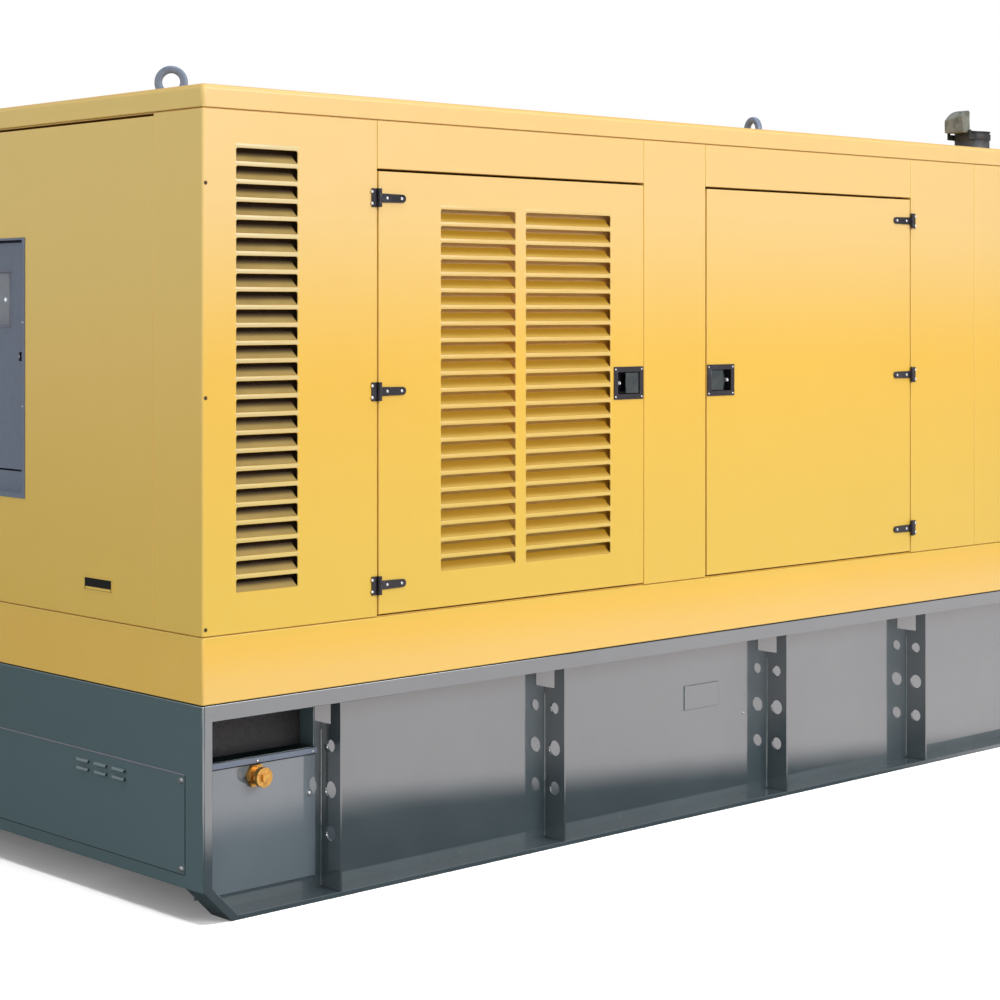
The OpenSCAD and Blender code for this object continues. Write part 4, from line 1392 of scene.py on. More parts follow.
        form.place()

    @staticmethod
    def strip(form: Form, wall: Wall, left: float, right: float, low: float, high: float, depth: float) -> None:
        """Adds an upright or level strip behind a wall's sheets."""
        form.block(wall.point(left, depth, low), wall.point(right, depth + 0.008, high), 0.001)

    def plugs(self) -> None:
        """Builds the small round plugs close to the canopy's four corners."""
        form = Form("corner_plugs", Paint.PLUG)
        for side in SIDES:
            for sign in SIDES:
                for z in self.plug_heights:
                    form.lathe((sign * (HALF_L - 0.011), side * HALF_W, z), (0, side, 0),
                               [(-0.001, 0.006), (0.0006, 0.006), (0.001, 0.0045), (0.0004, 0.003)], 20)
        form.place()


# ---------------------------------------------------------------- doors


@dataclass
class Door:
    """One hinged door: its sheet and lining, and the plates and screws of its hinges."""

    body: str
    slab: str
    left: float
    right: float
    hinge: float
    away: int
    wall: Wall = Wall.NEAR
    louvres: Sequence[Louvres] = ()
    low: float = 0.847
    high: float = 2.221
    hinge_heights: Sequence[float] = (0.938, 1.538, 2.138)
    latch_height: float = 1.54
    latch_size: tuple[float, float] = (0.144, 0.112)
    backing: tuple[float, float] = (0.0405, 0.0448)
    lining: tuple[float, float] = (0.0448, 0.062)
    lining_margin: tuple[float, float] = (0.09, 0.08)
    strap_width: float = 0.0284
    strap_screws: Sequence[float] = (0.043, 0.102)
    screw: float = 0.005

    def latch_span(self) -> tuple[float, float]:
        """Finds the latch's plate, which lies at the edge away from the hinges.

        Returns:
            Its two ends along the wall.
        """
        if self.away > 0:
            return self.right - self.latch_size[0], self.right
        return self.left, self.left + self.latch_size[0]

    def build(self) -> None:
        """Builds the door's sheet with its backing, and the lining pad with its fixing buttons."""
        form = Form(self.slab + "_sheet", Paint.YELLOW)
        point = self.wall.point
        near, away = self.latch_span()
        rise = self.latch_size[1] / 2 - 0.014
        cup = (near + 0.016, away - 0.016, self.latch_height - rise, self.latch_height + rise)
        SheetPanel(self.wall, self.left + 0.0005, self.right - 0.0005, self.low, self.high, self.louvres,
                   (cup,)).add(form)
        form.block(point(self.left + 0.002, self.backing[0], self.low + 0.002),
                   point(self.right - 0.002, self.backing[1], self.high - 0.002), 0.001)
        if self.louvres:
            form.block(point(self.louvres[0].left - 0.02, 0.0345, self.low + 0.05),
                       point(self.louvres[-1].right + 0.02, 0.036, self.high - 0.05), 0.0005)
        form.place(self.body, (self.slab,))
        pad = Form(self.slab + "_lining", Paint.FOAM)
        du, dw = self.lining_margin
        pad.block(point(self.left + du, self.lining[0], self.low + dw),
                  point(self.right - du, self.lining[1], self.high - dw), 0.004)
        pad.wear(Paint.BLACK)
        width, height = self.right - self.left, self.high - self.low
        for u in (0.15, 0.5, 0.85):
            for w in (0.12, 0.5, 0.88):
                at = point(self.left + width * u, self.lining[1] + 0.0005, self.low + height * w)
                pad.lathe(at, -self.wall.out(), [(-0.002, 0.02), (0.001, 0.02), (0.002, 0.012), (0.0015, 0.0)], 20)
        pad.place(self.body)

    def dress_straps(self, form: Form) -> None:
        """Shortens the straps and adds each one's round-ended plate and two screws.

        Args:
            form: Form that holds a copy of the straps.
        """
        tip = sorted((self.hinge + self.away * 0.11, self.hinge + self.away * 0.13))
        form.nudge(0, tip[0], tip[1], -self.away * 0.012)
        out = self.wall.out()
        round_end = [(0.108 + 0.0125 * math.cos(t), 0.0125 * math.sin(t))
                     for t in (math.radians(d) for d in range(-90, 91, 15))]
        half = self.strap_width / 2
        outline = [(0.008, -half)] + round_end + [(0.008, half)]
        for z in self.hinge_heights:
            def place(along: float, rise: float, depth: float, middle: float = z) -> Vector:
                """Returns a point of the plate."""
                return self.wall.point(self.hinge + self.away * along, depth, middle + rise)

            form.prism(outline, place, -0.0004, -0.0052, 0.0006)
            for along in self.strap_screws:
                form.screw(place(along, 0.0, -0.0052), out, self.screw)

    def leaf_screws(self, form: Form) -> None:
        """Adds the two screws of each fixed leaf.

        Args:
            form: Form that holds a copy of the leaves.
        """
        out = self.wall.out()
        for z in self.hinge_heights:
            for rise in (-0.018, 0.018):
                at = self.wall.point(self.hinge - self.away * 0.0165, -0.0042, z + rise)
                form.screw(at, out, self.screw)


@dataclass
class Latch:
    """A flush paddle latch: a rimmed plate with a cup, a key barrel and a pivoting paddle."""

    door: Door
    plate: str
    handle: str
    body: str
    screws: tuple[float, float] = (0.064, 0.047)
    beading: tuple[float, float] = (0.0585, 0.0425)
    squareness: float = 0.22
    barrel: float = 0.04
    face: float = -0.0022

    def point(self, along: float, depth: float, height: float) -> Vector:
        """Returns a point counted from the plate's middle, away from the door's edge, and inwards."""
        middle = sum(self.door.latch_span()) / 2
        return self.door.wall.point(middle - self.door.away * along, depth, self.door.latch_height + height)

    def details(self, form: Form) -> None:
        """Adds the rim's beading, the corner screws and the key barrel.

        Args:
            form: Form that holds a copy of the plate.
        """
        out = self.door.wall.out()
        for dx in SIDES:
            for dz in SIDES:
                form.screw(self.point(dx * self.screws[0], self.face, dz * self.screws[1]), out, 0.0037)
        form.wear(Paint.BLACK)
        ring = [self.point(self.beading[0] * squared(math.cos(t), self.squareness), self.face,
                           self.beading[1] * squared(math.sin(t), self.squareness)) for t in turns(64)]
        form.tube(ring, 0.0012, 8, True)
        form.wear(Paint.ZINC)
        form.lathe(self.point(self.barrel, 0.012, 0.0), out, [(-0.01, 0.007), (0.007, 0.007), (0.009, 0.0055),
                                                              (0.0085, 0.003), (0.005, 0.0)], 28)
        form.wear(Paint.BLACK)
        form.block(self.point(self.barrel - 0.0007, 0.0026, -0.004),
                   self.point(self.barrel + 0.0007, 0.0036, 0.004), 0.0002)

    def lip(self, form: Form) -> None:
        """Adds the raised finger lip along the paddle's free edge.

        Args:
            form: Form that holds a copy of the paddle.
        """
        arc = [math.radians(degrees) for degrees in range(-80, 81, 10)]
        path = [self.point(0.0075 + 0.006 * math.cos(t), -0.0012, 0.031 * math.sin(t)) for t in arc]
        form.tube(path, [0.0012 + 0.0012 * math.cos(t) for t in arc], 8)


@dataclass
class Doors(Assembly):
    """All four doors: two that open on the near side, and two shut on the far side."""

    louvres: Sequence[Louvres] = (
        Louvres(-1.978, -1.650, 0.962, 22, blade=Paint.DOOR_BLADE, lip=Paint.DOOR_LIP),
        Louvres(-1.605, -1.205, 0.962, 22, blade=Paint.DOOR_BLADE, lip=Paint.DOOR_LIP),
    )

    def build(self) -> None:
        """Builds the doors and their fittings."""
        intake = Door("intake_door", "intake_door", -2.235, -1.047, -2.2475, 1, louvres=self.louvres)
        service = Door("service_door", "service_door", -0.715, 0.473, 0.4855, -1)
        far_intake = Door("set", "far_intake_door", -2.235, -1.047, -2.2475, 1, Wall.FAR, self.louvres)
        far_service = Door("set", "far_service_door", -0.715, 0.473, 0.4855, -1, Wall.FAR)
        for door in (intake, service, far_intake, far_service):
            door.build()
        leaves = Form("hinge_leaves_detail", Paint.BLACK).copy("hinge_leaves", 0.0016)
        for door in (intake, service):
            door.leaf_screws(leaves)
        leaves.place(replaces=("hinge_leaves",))
        for door, straps in ((intake, "intake_door_straps"), (service, "service_door_straps")):
            form = Form(straps + "_detail", Paint.BLACK).copy(straps, 0.0022)
            door.dress_straps(form)
            form.place(door.body, (straps,))
        for latch in (Latch(intake, "intake_latch", "intake_paddle", "intake_paddle"),
                      Latch(service, "service_latch", "service_paddle", "service_paddle")):
            form = Form(latch.plate + "_detail", Paint.BLACK).copy(latch.plate, 0.0012)
            latch.details(form)
            form.place(latch.door.body, (latch.plate,))
            form = Form(latch.handle + "_detail", Paint.PADDLE).copy(latch.handle, 0.0025)
            latch.lip(form)
            form.place(latch.body, (latch.handle,))
        far = Form("far_fittings_detail", Paint.BLACK).copy("far_door_fittings", 0.0014)
        for door in (far_intake, far_service):
            door.leaf_screws(far)
            door.dress_straps(far)
        far.place(replaces=("far_door_fittings",))


# ---------------------------------------------------------------- control panel


@dataclass
class ControlPanel(Assembly):
    """The control box in the canopy's end, with its door, window and lock."""

    low: tuple[float, float] = (-0.0275, 1.187)
    high: tuple[float, float] = (0.680, 2.019)
    face: float = -2.903
    widening: float = 0.0175
    lock: tuple[float, float] = (0.032, 1.64)
    lock_size: tuple[float, float] = (0.72, 1.15)
    hinges: Sequence[float] = (1.36, 1.65, 1.93)
    window: tuple[float, float, float, float] = (0.082, 0.536, 1.737, 1.915)
    screws: Sequence[float] = (1.75, 1.48)

    def stretch(self, form: Form) -> Form:
        """Draws the free edge, the top rim and the lower strip's gap out to their real places.

        Args:
            form: Form that holds a copy of the box or its door.

        Returns:
            The form.
        """
        form.nudge(1, -0.05, 0.03, -self.widening)
        form.nudge(2, 2.0, 2.1, 0.0075)
        form.nudge(2, 1.2, 1.31, -0.018)
        return form.nudge(2, 1.17, 1.2, 0.007)

    @staticmethod
    def raise_window(form: Form) -> Form:
        """Moves the window's foot and head up to their real places."""
        return form.nudge(2, 1.70, 1.75, 0.016).nudge(2, 1.88, 1.93, 0.006)

    def build(self) -> None:
        """Builds the frame, the door, the window and the lock."""
        self.rim()
        door = Form("control_door_detail", Paint.CONTROL).copy("control_door", 0.002)
        self.raise_window(self.stretch(door.nudge(2, 1.98, 2.0, 0.0085)))
        for z in self.hinges:
            door.wear(Paint.BLACK).lathe((-2.887, 0.663, z - 0.02), (0, 0, 1), [(0, 0.0035), (0.04, 0.0035)], 16)
        # The window's thin border wears the rim paint: painted highlight.
        door.wear(Paint.RIM)
        self.border(door, -2.8893, self.window, 0.003)
        door.place("control_door", ("control_door",))
        pane = Form("control_window_pane", Paint.PANE).copy("control_window", 0.001)
        self.raise_window(pane).place("control_door", ("control_window",))
        self.screen()
        lock = Form("control_lock_detail", Paint.BLACK).copy("control_lock", 0.0008)
        y, z = self.lock
        lock.wear(Paint.ZINC).lathe((-2.8952, y, z), (-1, 0, 0), [(-0.001, 0.005), (0.0005, 0.005),
                                                                 (0.0008, 0.0035), (0.0002, 0.0)], 24)
        for vert in lock.bm.verts:
            vert.co.y = y - self.widening + (vert.co.y - y) * self.lock_size[0]
            vert.co.z = z + (vert.co.z - z) * self.lock_size[1]
        lock.place("control_door", ("control_lock",))
        fasteners = Form("control_screws", Paint.ZINC)
        for z in self.screws:
            fasteners.screw((self.face, -0.018, z), (-1, 0, 0), 0.0035)
        fasteners.place()

    def rim(self) -> None:
        """Builds the box's frame with the light rim round its edge."""
        form = Form("control_box_frame", Paint.CONTROL).copy("control_box", 0.0012)
        self.stretch(form.nudge(2, 1.98, 2.0, 0.0105))
        # Strips round the frame's edge in the rim paint: painted highlight.
        form.wear(Paint.RIM)
        (y0, z0), (y1, z1) = self.low, self.high
        path = [(self.face + 0.0003, y, z) for y, z in ((y0, z0), (y1, z0), (y1, z1), (y0, z1))]
        for a, b in zip(path, path[1:] + path[:1]):
            low = [min(p, q) - (0.0 if i == 0 else 0.0015) for i, (p, q) in enumerate(zip(a, b))]
            high = [max(p, q) + (0.0008 if i == 0 else 0.0045) for i, (p, q) in enumerate(zip(a, b))]
            form.block(low, high, 0.0004)
        form.place(replaces=("control_box",))

    @staticmethod
    def border(form: Form, face: float, span: Sequence[float], width: float) -> None:
        """Adds a thin light border round the window."""
        y0, y1, z0, z1 = span
        form.tube([(face, y0, z0), (face, y1, z0), (face, y1, z1), (face, y0, z1)], width / 2, 8, True)

    def screen(self) -> None:
        """Builds the controller behind the window: a dark bezel, its display, keys and a lit lamp."""
        form = Form("controller_face", Paint.CONTROL)
        form.block((-2.872, 0.10, 1.745), (-2.868, 0.52, 1.905), 0.001)
        form.wear(Paint.PLASTIC).block((-2.8755, 0.13, 1.75), (-2.871, 0.34, 1.88), 0.0015)
        form.wear(Paint.DISPLAY).block((-2.8763, 0.15, 1.795), (-2.875, 0.26, 1.865), 0.0006)
        form.wear(Paint.CONTROL)
        for k in range(6):
            form.block((-2.8765, 0.15 + k * 0.03, 1.765), (-2.875, 0.168 + k * 0.03, 1.779), 0.0006)
        form.wear(Paint.LAMP)
        form.lathe((-2.8765, 0.128, 1.824), (-1, 0, 0), [(-0.004, 0.006), (0.0, 0.006), (0.002, 0.003),
                                                        (0.0024, 0.0)], 20)
        form.place("control_door")


# ---------------------------------------------------------------- roof fittings


@dataclass
class RoofFittings(Assembly):
    """Lifting eyes, exhaust outlet and its weighted rain cap."""

    eyes: Sequence[tuple[float, float]] = ((-2.315, 47.0), (0.7, -15.0))
    eye_height: float = 2.563
    eye_foot: float = 2.4754
    ring: float = 0.0437
    bar: float = 0.0148
    pad: float = 0.0745
    pad_height: float = 0.0165
    exhaust_x: float = 2.3
    flange: float = 0.112
    weight_middle: Triple = (2.18, 0.0, 2.68)

    def build(self) -> None:
        """Builds the eyes, the pipe, the cap and its weight."""
        form = Form("forged_lifting_eyes", Paint.EYE)
        for x, turn in self.eyes:
            self.eye(form, x, math.radians(turn))
        form.place(replaces=("lifting_eyes",))
        pipe = Form("exhaust_pipe_detail", Paint.EXHAUST).copy("exhaust_pipe", 0.0012)
        for turn in turns(8):
            at = (self.exhaust_x + self.flange * math.cos(turn + 0.2), self.flange * math.sin(turn + 0.2), 2.487)
            pipe.screw(at, (0, 0, 1), 0.005, Paint.ZINC, HEXAGON)
        pipe.place(replaces=("exhaust_pipe",))
        lid = Form("rain_cap_lid_detail", Paint.EXHAUST).copy("rain_cap_lid", 0.0012)
        lid.place("rain_cap", ("rain_cap_lid",))
        weight = Form("rain_cap_weight_detail", Paint.WEIGHT).copy("rain_cap_weight", 0.006)
        self.roughen(weight)
        weight.place("rain_cap", ("rain_cap_weight",))

    def roughen(self, form: Form) -> None:
        """Gives the cast weight an uneven skin and lets its top slope away.

        Args:
            form: Form that holds a copy of the weight.
        """
        bmesh.ops.subdivide_edges(form.bm, edges=[e for e in form.bm.edges if e.calc_length() > 0.012], cuts=5,
                                  use_grid_fill=True)
        middle = Vector(self.weight_middle)
        for vert in form.bm.verts:
            c = vert.co
            wave = math.sin(90 * c.x + 3 * math.sin(70 * c.y)) * math.cos(80 * c.z + 2 * math.sin(60 * c.x))
            vert.co = c + (middle - c).normalized() * 0.002 * (0.5 + 0.5 * wave)
            lean = min(1.0, max(0.0, (2.21 - c.x) / 0.06 + (c.y + 0.052) / 0.104 - 0.9))
            vert.co.z -= 0.034 * lean * max(0.0, (c.z - 2.675) / 0.06)

    def eye(self, form: Form, x: float, turn: float) -> None:
        """Adds one forged eye bolt with its pad.

        Args:
            form: Form that the eye is added to.
            x: Where the eye stands.
            turn: Direction of its bore from the X axis, in radians.
        """
        foot, up = self.eye_foot, Vector((0, 0, 1))
        across = Vector((-math.sin(turn), math.cos(turn), 0))
        bore = Vector((math.cos(turn), math.sin(turn), 0))
        centre = Vector((x, 0, self.eye_height))
        rows = []
        for t in turns(48):
            point = centre + (across * math.cos(t) + up * math.sin(t)) * self.ring
            size = self.bar - 0.002 + 0.002 * max(0.0, -math.sin(t))
            radial = (point - centre).normalized()
            rows.append([point + radial * size * squared(math.cos(s), 0.6)
                         + bore * 0.0128 * squared(math.sin(s), 0.6) for s in turns(16)])
        rows.append(rows[0])
        form.skin(rows, True)
        form.lathe((x, 0, foot), up, [(0.016, 0.034), (0.021, 0.034), (0.025, 0.031), (0.027, 0.023),
                                      (0.035, 0.018), (0.046, 0.0165), (0.05, 0.017)], 32)
        form.block((-self.pad, -self.pad, foot), (self.pad, self.pad, foot + self.pad_height), 0.0035,
                   Matrix.Translation((x, 0, 0)))
        for sx in SIDES:
            for sy in SIDES:
                form.screw((x + sx * 0.055, sy * 0.055, foot + self.pad_height), up, 0.0065, Paint.EYE, HEXAGON)


# ---------------------------------------------------------------- base frame


@dataclass
class BaseFrame(Assembly):
    """The welded base: rails, ribs, end plates, deck, tank and covers."""

    rib_faces: Sequence[float] = (-2.38, -1.42, -0.27, 0.58, 1.48, 2.388)
    vent_rows: Sequence[float] = (0.370, 0.396)
    vent_columns: Sequence[float] = (-0.572, -0.473, -0.3745)
    cover_face: float = 2.9026
    cover_screws: tuple[Sequence[float], Sequence[float]] = ((-0.898, 0.898), (0.153, 0.4115))
    exit_span: tuple[float, float] = (2.414, 2.862)
    exit_screws: Sequence[float] = (2.641, 2.43)
    exit_corners: Sequence[tuple[float, float]] = ((2.437, 0.31), (2.84, 0.16))
    weld: float = 0.0035

    def build(self) -> None:
        """Builds every part of the base."""
        for node in ("side_rail_near", "side_rail_far"):
            Form(node + "_steel", Paint.BASE).copy(node, 0.0014).place(replaces=(node,))
        for name, paint, node, edge in (("rib_plates", Paint.RIB, "side_ribs", 0.0012),
                                        ("end_plate_steel", Paint.BASE, "end_plates", 0.0025),
                                        ("deck_plate", Paint.BASE, "deck", 0.0015),
                                        ("tank_shell", Paint.TANK, "fuel_tank", 0.004)):
            Form(name, paint).copy(node, edge).place(replaces=(node,))
        self.duct()
        self.exits()
        self.welds()
        self.plug()

    def duct(self) -> None:
        """Builds the bolted covers on both ends, with their pressed vent hoods."""
        form = Form("duct_cover_plates", Paint.COVER).copy("duct_covers", 0.0018)
        for vert in form.bm.verts:
            past = abs(vert.co.x) - HALF_L
            if past > 0:
                vert.co.x = math.copysign(HALF_L + past * (self.cover_face - HALF_L) / 0.01, vert.co.x)
        for sign in SIDES:
            out = (sign, 0, 0)
            face = sign * self.cover_face
            for y in self.cover_screws[0]:
                for z in self.cover_screws[1]:
                    form.screw((face, y, z), out, 0.0065, Paint.ZINC, HEXAGON)
            for side in SIDES:
                for column in self.vent_columns:
                    for z in self.vent_rows:
                        self.hood(form, face, sign, side * column, z)
            self.edges(form, sign)
        form.place(replaces=("duct_covers",))

    @staticmethod
    def edges(form: Form, sign: int) -> None:
        """Adds dark strips beside and below an end's cover, painted shadow of the gaps there, and a pale strip along
        its top, a painted highlight on its fold.

        Args:
            form: Form that they are added to.
            sign: Side that the cover looks to.
        """
        back, gap, fold = sign * 2.8995, sign * 2.9006, sign * 2.9029
        # Dark strips on the end plate beside and below the cover: painted shadow.
        form.wear(Paint.RUBBER)
        for y in (-0.9132, 0.9132):
            form.block((back, y - 0.0014, 0.1375), (gap, y + 0.0014, 0.43), 0.0002)
        form.block((back, -0.912, 0.1355), (gap, 0.912, 0.1378), 0.0002)
        # Pale strip along the cover's top in the rim paint: painted highlight.
        form.wear(Paint.RIM).block((back, -0.912, 0.4292), (fold, 0.912, 0.4314), 0.0004)
        form.wear(Paint.COVER)

    def hood(self, form: Form, face: float, sign: int, y: float, z: float) -> None:
        """Adds one pressed hood over a vent.

        Args:
            form: Form that the hood is added to.
            face: Where the cover's face is.
            sign: Side that the cover looks to.
            y: Middle of the vent across the cover.
            z: Height of the vent's middle.
        """
        rows = []
        for k in range(6):
            t = k / 5 * math.pi / 2
            out, height = 0.007 * math.sin(t), z + 0.006 - 0.009 * (1 - math.cos(t))
            half = 0.034 - 0.003 * (k / 5) ** 2
            rows.append([Vector((face + sign * out, y + end * half, height)) for end in SIDES])
        form.skin(rows)
        # A thin dark block on the face under the hood: painted shade in place of the vent's shaded opening.
        form.wear(Paint.RUBBER)
        form.block((face, y - 0.03, z - 0.003), (face + sign * 0.0006, y + 0.03, z + 0.003), 0.0002)
        form.wear(Paint.COVER)

    def exits(self) -> None:
        """Builds the covers under the cable openings, with their folded top edge and screws, a pale strip of painted
        highlight on the fold and a dark strip of painted shade under it.
        """
        form = Form("exit_cover_plates", Paint.EXIT).copy("exit_covers", 0.0015).nudge(2, 0.11, 0.12, -0.058)
        for side in SIDES:
            out = (0, side, 0)
            for sign in SIDES:
                near, away = (sign * end for end in self.exit_span)
                for x in self.exit_screws:
                    form.screw((sign * x, side * 0.9195, 0.438), out, 0.005)
                # A pale strip of the control paint over the cover's folded top edge: painted highlight.
                form.wear(Paint.CONTROL)
                form.block((near, side * 0.9188, 0.4325), (away, side * 0.9196, 0.4485), 0.0003)
                # A dark strip in the gap below the fold: painted shade.
                form.wear(Paint.RUBBER)
                form.block((near, side * 0.9095, 0.4275), (away, side * 0.9125, 0.4315), 0.0003)
                form.wear(Paint.PLASTIC)
                form.block((near, side * 0.835, 0.45), (away, side * 0.838, 0.591), 0.0006)
                form.wear(Paint.EXIT)
                form.block((sign * 2.4145, side * 0.835, 0.45), (sign * 2.4175, side * 0.905, 0.591), 0.0006)
                for x, z in self.exit_corners:
                    form.screw((sign * x, side * 0.9098, z), out, 0.0075)
        form.place(replaces=("exit_covers",))

    def welds(self) -> None:
        """Builds the fillet welds of the ribs, the level weld across each end and a plate on each web."""
        form = Form("weld_beads", Paint.BASE)
        step = 0.02
        for side in SIDES:
            for rib in self.rib_faces:
                for x in (rib, rib - 0.008):
                    path = [(x, side * 0.906, step + step * k) for k in range(25)]
                    form.tube(path, [self.weld * (0.85 + 0.15 * math.sin(k * 2.1)) for k in range(25)], 8)
        for sign in SIDES:
            form.tube([(sign * 2.893, -0.88 + step * k, 0.0985) for k in range(89)], 0.0028, 8)
        form.place()
        plate = Form("web_patch_plate", Paint.BASE)
        for side in SIDES:
            plate.block((-0.732, side * 0.904, 0.356), (-0.549, side * 0.9085, 0.443), 0.0015)
            plate.screw((-0.41, side * 0.905, 0.31), (0, side, 0), 0.005, Paint.ZINC)
        plate.place()

    def plug(self) -> None:
        """Builds the brass drain plug."""
        Form("drain_plug_detail", Paint.BRASS).copy("drain_plug", 0.0015).place(replaces=("drain_plug",))


# ---------------------------------------------------------------- machinery


@dataclass
class Machinery(Assembly):
    """Plain masses of the machinery that the doors open onto."""

    cylinders: int = 6
    first: float = -1.05
    spacing: float = 0.26
    fan: Triple = (1.79, 0.0, 1.26)
    blades: int = 8
    cans: Sequence[float] = (-0.88, -0.5)
    can_middle: tuple[float, float] = (0.34, 1.4679)
    can_radius: float = 0.1515
    bars: int = 20
    bar_ring: Triple = (-2.3405, 0.31, 1.16)

    def build(self) -> None:
        """Builds the bed, engine, alternator, radiator and air cleaners with their details."""
        Form("bed_rails_steel", Paint.BASE).copy("machinery_bed", 0.004).place(replaces=("machinery_bed",))
        self.engine()
        self.alternator()
        self.radiator()
        cleaners = Form("air_cleaner_cans", Paint.PLASTIC).copy("air_cleaners", 0.003)
        (y, z), r = self.can_middle, self.can_radius
        for side in SIDES:
            for x in self.cans:
                ring = [(x, side * y + r * math.cos(t), z + r * math.sin(t)) for t in turns(40)]
                cleaners.wear(Paint.ZINC).tube(ring, 0.004, 8, True)
        cleaners.place(replaces=("air_cleaners",))

    def engine(self) -> None:
        """Builds the engine block with the bolts of its rocker covers and its injection pipes."""
        form = Form("engine_block", Paint.ENGINE).copy("engine", 0.006)
        for k in range(self.cylinders):
            x = self.first + k * self.spacing
            for side in SIDES:
                form.screw((x, side * 0.1, 1.66), (0, 0, 1), 0.009, Paint.ZINC, HEXAGON)
                path = [(x, side * 0.3, 1.2), (x + 0.01, side * 0.36, 1.26), (x + 0.02, side * 0.34, 1.36),
                        (x + 0.02, side * 0.26, 1.44)]
                form.wear(Paint.ZINC).tube(path, 0.006, 8)
                form.wear(Paint.ENGINE)
        form.place(replaces=("engine",))

    def alternator(self) -> None:
        """Builds the alternator with its ring of ventilation bars."""
        form = Form("alternator_body", Paint.ALTERNATOR).copy("alternator", 0.004)
        x, radius, height = self.bar_ring
        for t in turns(self.bars):
            middle = Matrix.Translation((x, radius * math.cos(t), height + radius * math.sin(t)))
            form.block((-0.004, -0.02, -0.006), (0.004, 0.02, 0.006), 0.001, middle @ Matrix.Rotation(t, 4, "X"))
        form.place(replaces=("alternator",))

    def radiator(self) -> None:
        """Builds the radiator with its core and the fan in the shroud."""
        form = Form("radiator_frame", Paint.RADIATOR).copy("radiator", 0.004)
        form.wear(Paint.CORE)
        form.block((2.2995, -0.7, 0.76), (2.303, 0.7, 1.92), 0.001)
        form.wear(Paint.PLASTIC)
        x, y, z = self.fan
        for t in turns(self.blades):
            rows = []
            for j in range(6):
                r = 0.09 + 0.08 * j
                pitch = 0.05 - 0.004 * j
                sweep = t + 0.03 * j
                width = 0.09 + 0.012 * j
                rows.append([Vector((x + pitch * s, y + r * math.cos(sweep + s * width / r / 2),
                                     z + r * math.sin(sweep + s * width / r / 2))) for s in (-1, -0.3, 0.3, 1)])
            form.skin(rows)
        form.lathe((x - 0.06, y, z), (1, 0, 0), [(0, 0.09), (0.02, 0.11), (0.1, 0.11), (0.12, 0.09)], 32)
        form.place(replaces=("radiator",))


# ---------------------------------------------------------------- studio


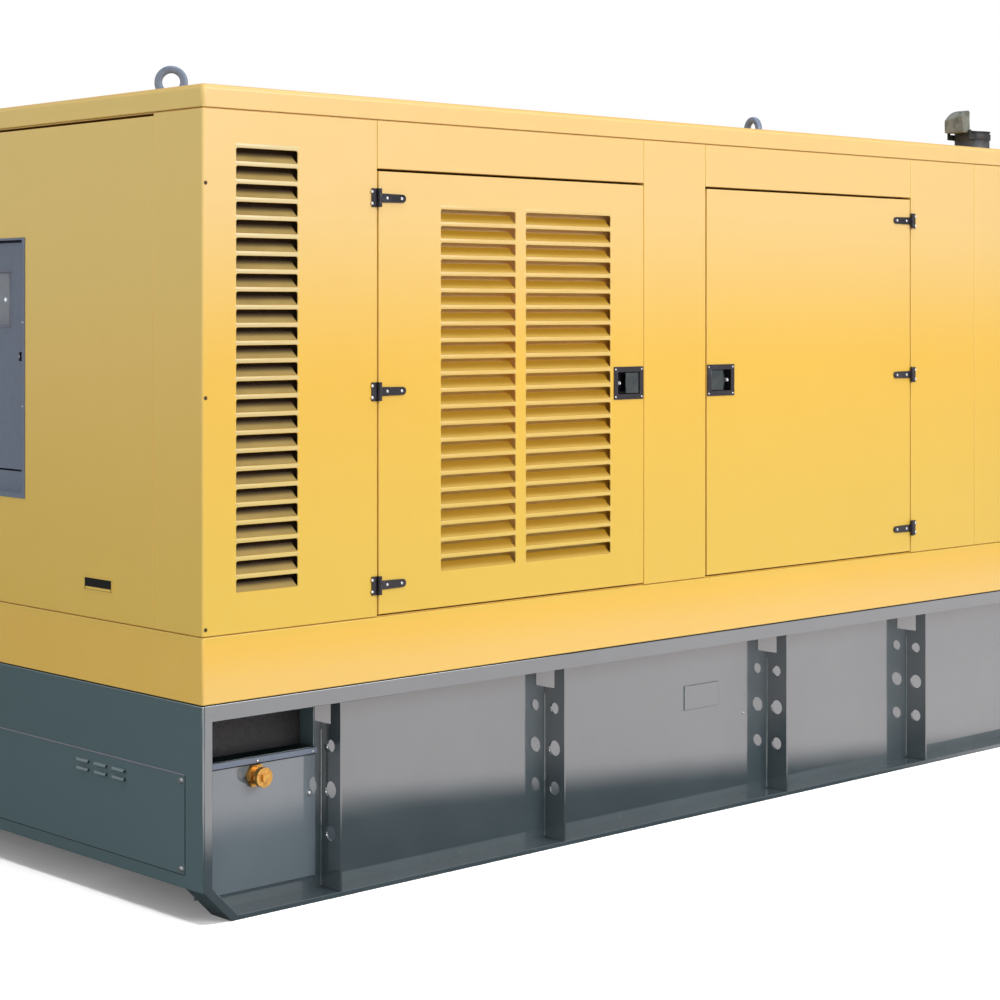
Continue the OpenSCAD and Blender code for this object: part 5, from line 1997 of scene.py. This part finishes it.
@dataclass
class Studio(Assembly):
    """Floor, background, lights and camera."""

    eye: Triple = (-6.752, -6.391, 1.793)
    forward: Triple = (0.68225, 0.73111, 0.0)
    lens: float = 81.65
    shift: float = -0.1908
    ambient: float = 0.48
    key: float = 720.0
    top: float = 450.0
    fill: float = 95.0
    floor_top: float = 1500.0

    def build(self) -> None:
        """Builds the whole studio."""
        self.world()
        self.floor()
        self.light("key_light", (0.4, -11.0, 6.0), (-0.4, 0, 1.0), (8.0, 5.0), self.key)
        self.light("top_light", (-0.6, -1.5, 10.0), (-0.6, -1.5, 0.0), (9.0, 7.0), self.top)
        self.light("end_fill", (-10.0, 0.6, 3.5), (-2.9, 0.0, 1.2), (5.0, 4.0), self.fill)
        lamp = self.light("floor_light", (-2.0, -2.0, 9.0), (-2.0, -2.0, 0.0), (5.0, 5.0), self.floor_top)
        lit = bpy.data.collections.new("floor_only")
        lit.objects.link(bpy.data.objects["floor"])
        lamp.light_linking.receiver_collection = lit
        self.camera()
        bpy.context.scene.view_settings.view_transform = "Standard"

    def world(self) -> None:
        """Makes the world white where it is seen, and an even soft light elsewhere."""
        world = bpy.data.worlds.new("white_room")
        world.use_nodes = True
        tree = world.node_tree
        tree.nodes.clear()
        out = tree.nodes.new("ShaderNodeOutputWorld")
        path = tree.nodes.new("ShaderNodeLightPath")
        mix = tree.nodes.new("ShaderNodeMixShader")
        lights = []
        for strength in (self.ambient, 1.0):
            back = tree.nodes.new("ShaderNodeBackground")
            back.inputs[0].default_value = (1, 1, 1, 1)
            back.inputs[1].default_value = strength
            lights.append(back)
        tree.links.new(path.outputs["Is Camera Ray"], mix.inputs[0])
        tree.links.new(lights[0].outputs[0], mix.inputs[1])
        tree.links.new(lights[1].outputs[0], mix.inputs[2])
        tree.links.new(mix.outputs[0], out.inputs[0])
        bpy.context.scene.world = world

    def floor(self) -> None:
        """Builds the pale floor, which keeps the shadow near the set and turns white far from it."""
        graph = Graph("studio_floor")
        axes = graph.node("SeparateXYZ", {0: graph.place}).outputs
        reach = graph.node("VectorMath", {0: graph.place}, operation="LENGTH").outputs[1]
        far = graph.span(reach, 4.2, 7.0)
        path = graph.node("LightPath").outputs
        grain = graph.span(graph.noise(3, 3), 0.3, 0.7, 0.93, 0.97)
        pale = graph.node("CombineColor", {0: grain, 1: grain, 2: grain}).outputs[0]
        colour = graph.mix(path["Is Camera Ray"], "#808080", pale)
        matt = graph.node("BsdfDiffuse", {"Color": colour}).outputs[0]
        white = graph.node("Emission", {"Color": (1, 1, 1, 1), "Strength": 1.0}).outputs[0]
        share = graph.span(far, 0.0, 1.0, 0.1, 1.0)
        seen = graph.node("MixShader", {0: graph.times(path["Is Camera Ray"], share), 1: matt, 2: white}).outputs[0]
        # Seen only in reflections, the floor glows dark near the set's near side and bright farther out: a painted
        # reflection, cast on the base's glossy paint.
        ahead = graph.node("Math", {0: axes[1], 1: -1.0, 2: -1.0}, operation="MULTIPLY_ADD").outputs[0]
        right = graph.node("Math", {0: axes[0], 1: -1.45}, operation="MAXIMUM").outputs[0]
        along = graph.node("Math", {0: right, 1: 0.35, 2: ahead}, operation="MULTIPLY_ADD").outputs[0]
        ramp = graph.span(along, 0.045, 0.64, 0.02, 1.42)
        mirrored = graph.node("Emission", {"Color": (1, 0.91, 0.90, 1), "Strength": ramp}).outputs[0]
        mixed = graph.node("MixShader", {0: path["Is Glossy Ray"], 1: seen, 2: mirrored})
        graph.tree.links.new(mixed.outputs[0], graph.output.inputs[0])
        mesh = bpy.data.meshes.new("floor")
        bm = bmesh.new()
        bmesh.ops.create_grid(bm, x_segments=8, y_segments=8, size=60)
        bm.to_mesh(mesh)
        bm.free()
        mesh.materials.append(graph.material)
        floor = bpy.data.objects.new("floor", mesh)
        bpy.context.scene.collection.objects.link(floor)

    @staticmethod
    def light(name: str, at: Triple, target: Triple, size: tuple[float, float], power: float) -> bpy.types.Object:
        """Adds a large soft area light.

        Args:
            name: Name of the light.
            at: Where it hangs.
            target: Point that it looks at.
            size: Its width and height.
            power: Its power, in watts.

        Returns:
            The lamp.
        """
        data = bpy.data.lights.new(name, "AREA")
        data.shape = "RECTANGLE"
        data.size, data.size_y = size
        data.energy = power
        lamp = bpy.data.objects.new(name, data)
        lamp.location = at
        lamp.rotation_euler = (Vector(target) - Vector(at)).to_track_quat("-Z", "Y").to_euler()
        bpy.context.scene.collection.objects.link(lamp)
        return lamp

    def camera(self) -> None:
        """Adds the camera."""
        data = bpy.data.cameras.new("view")
        data.lens = self.lens
        data.shift_y = self.shift
        data.clip_end = 200
        camera = bpy.data.objects.new("view", data)
        camera.location = self.eye
        camera.rotation_euler = Vector(self.forward).to_track_quat("-Z", "Y").to_euler()
        bpy.context.scene.collection.objects.link(camera)
        bpy.context.scene.camera = camera


def main() -> None:
    """Builds the set."""
    logging.basicConfig(level=logging.INFO, format="%(message)s")
    parts: list[Assembly] = [BaseFrame(), Canopy(), Doors(), ControlPanel(), RoofFittings(), Machinery(), Studio()]
    for part in parts:
        LOG.info("building %s", type(part).__name__)
        part.build()


if __name__ == "__main__":
    main()
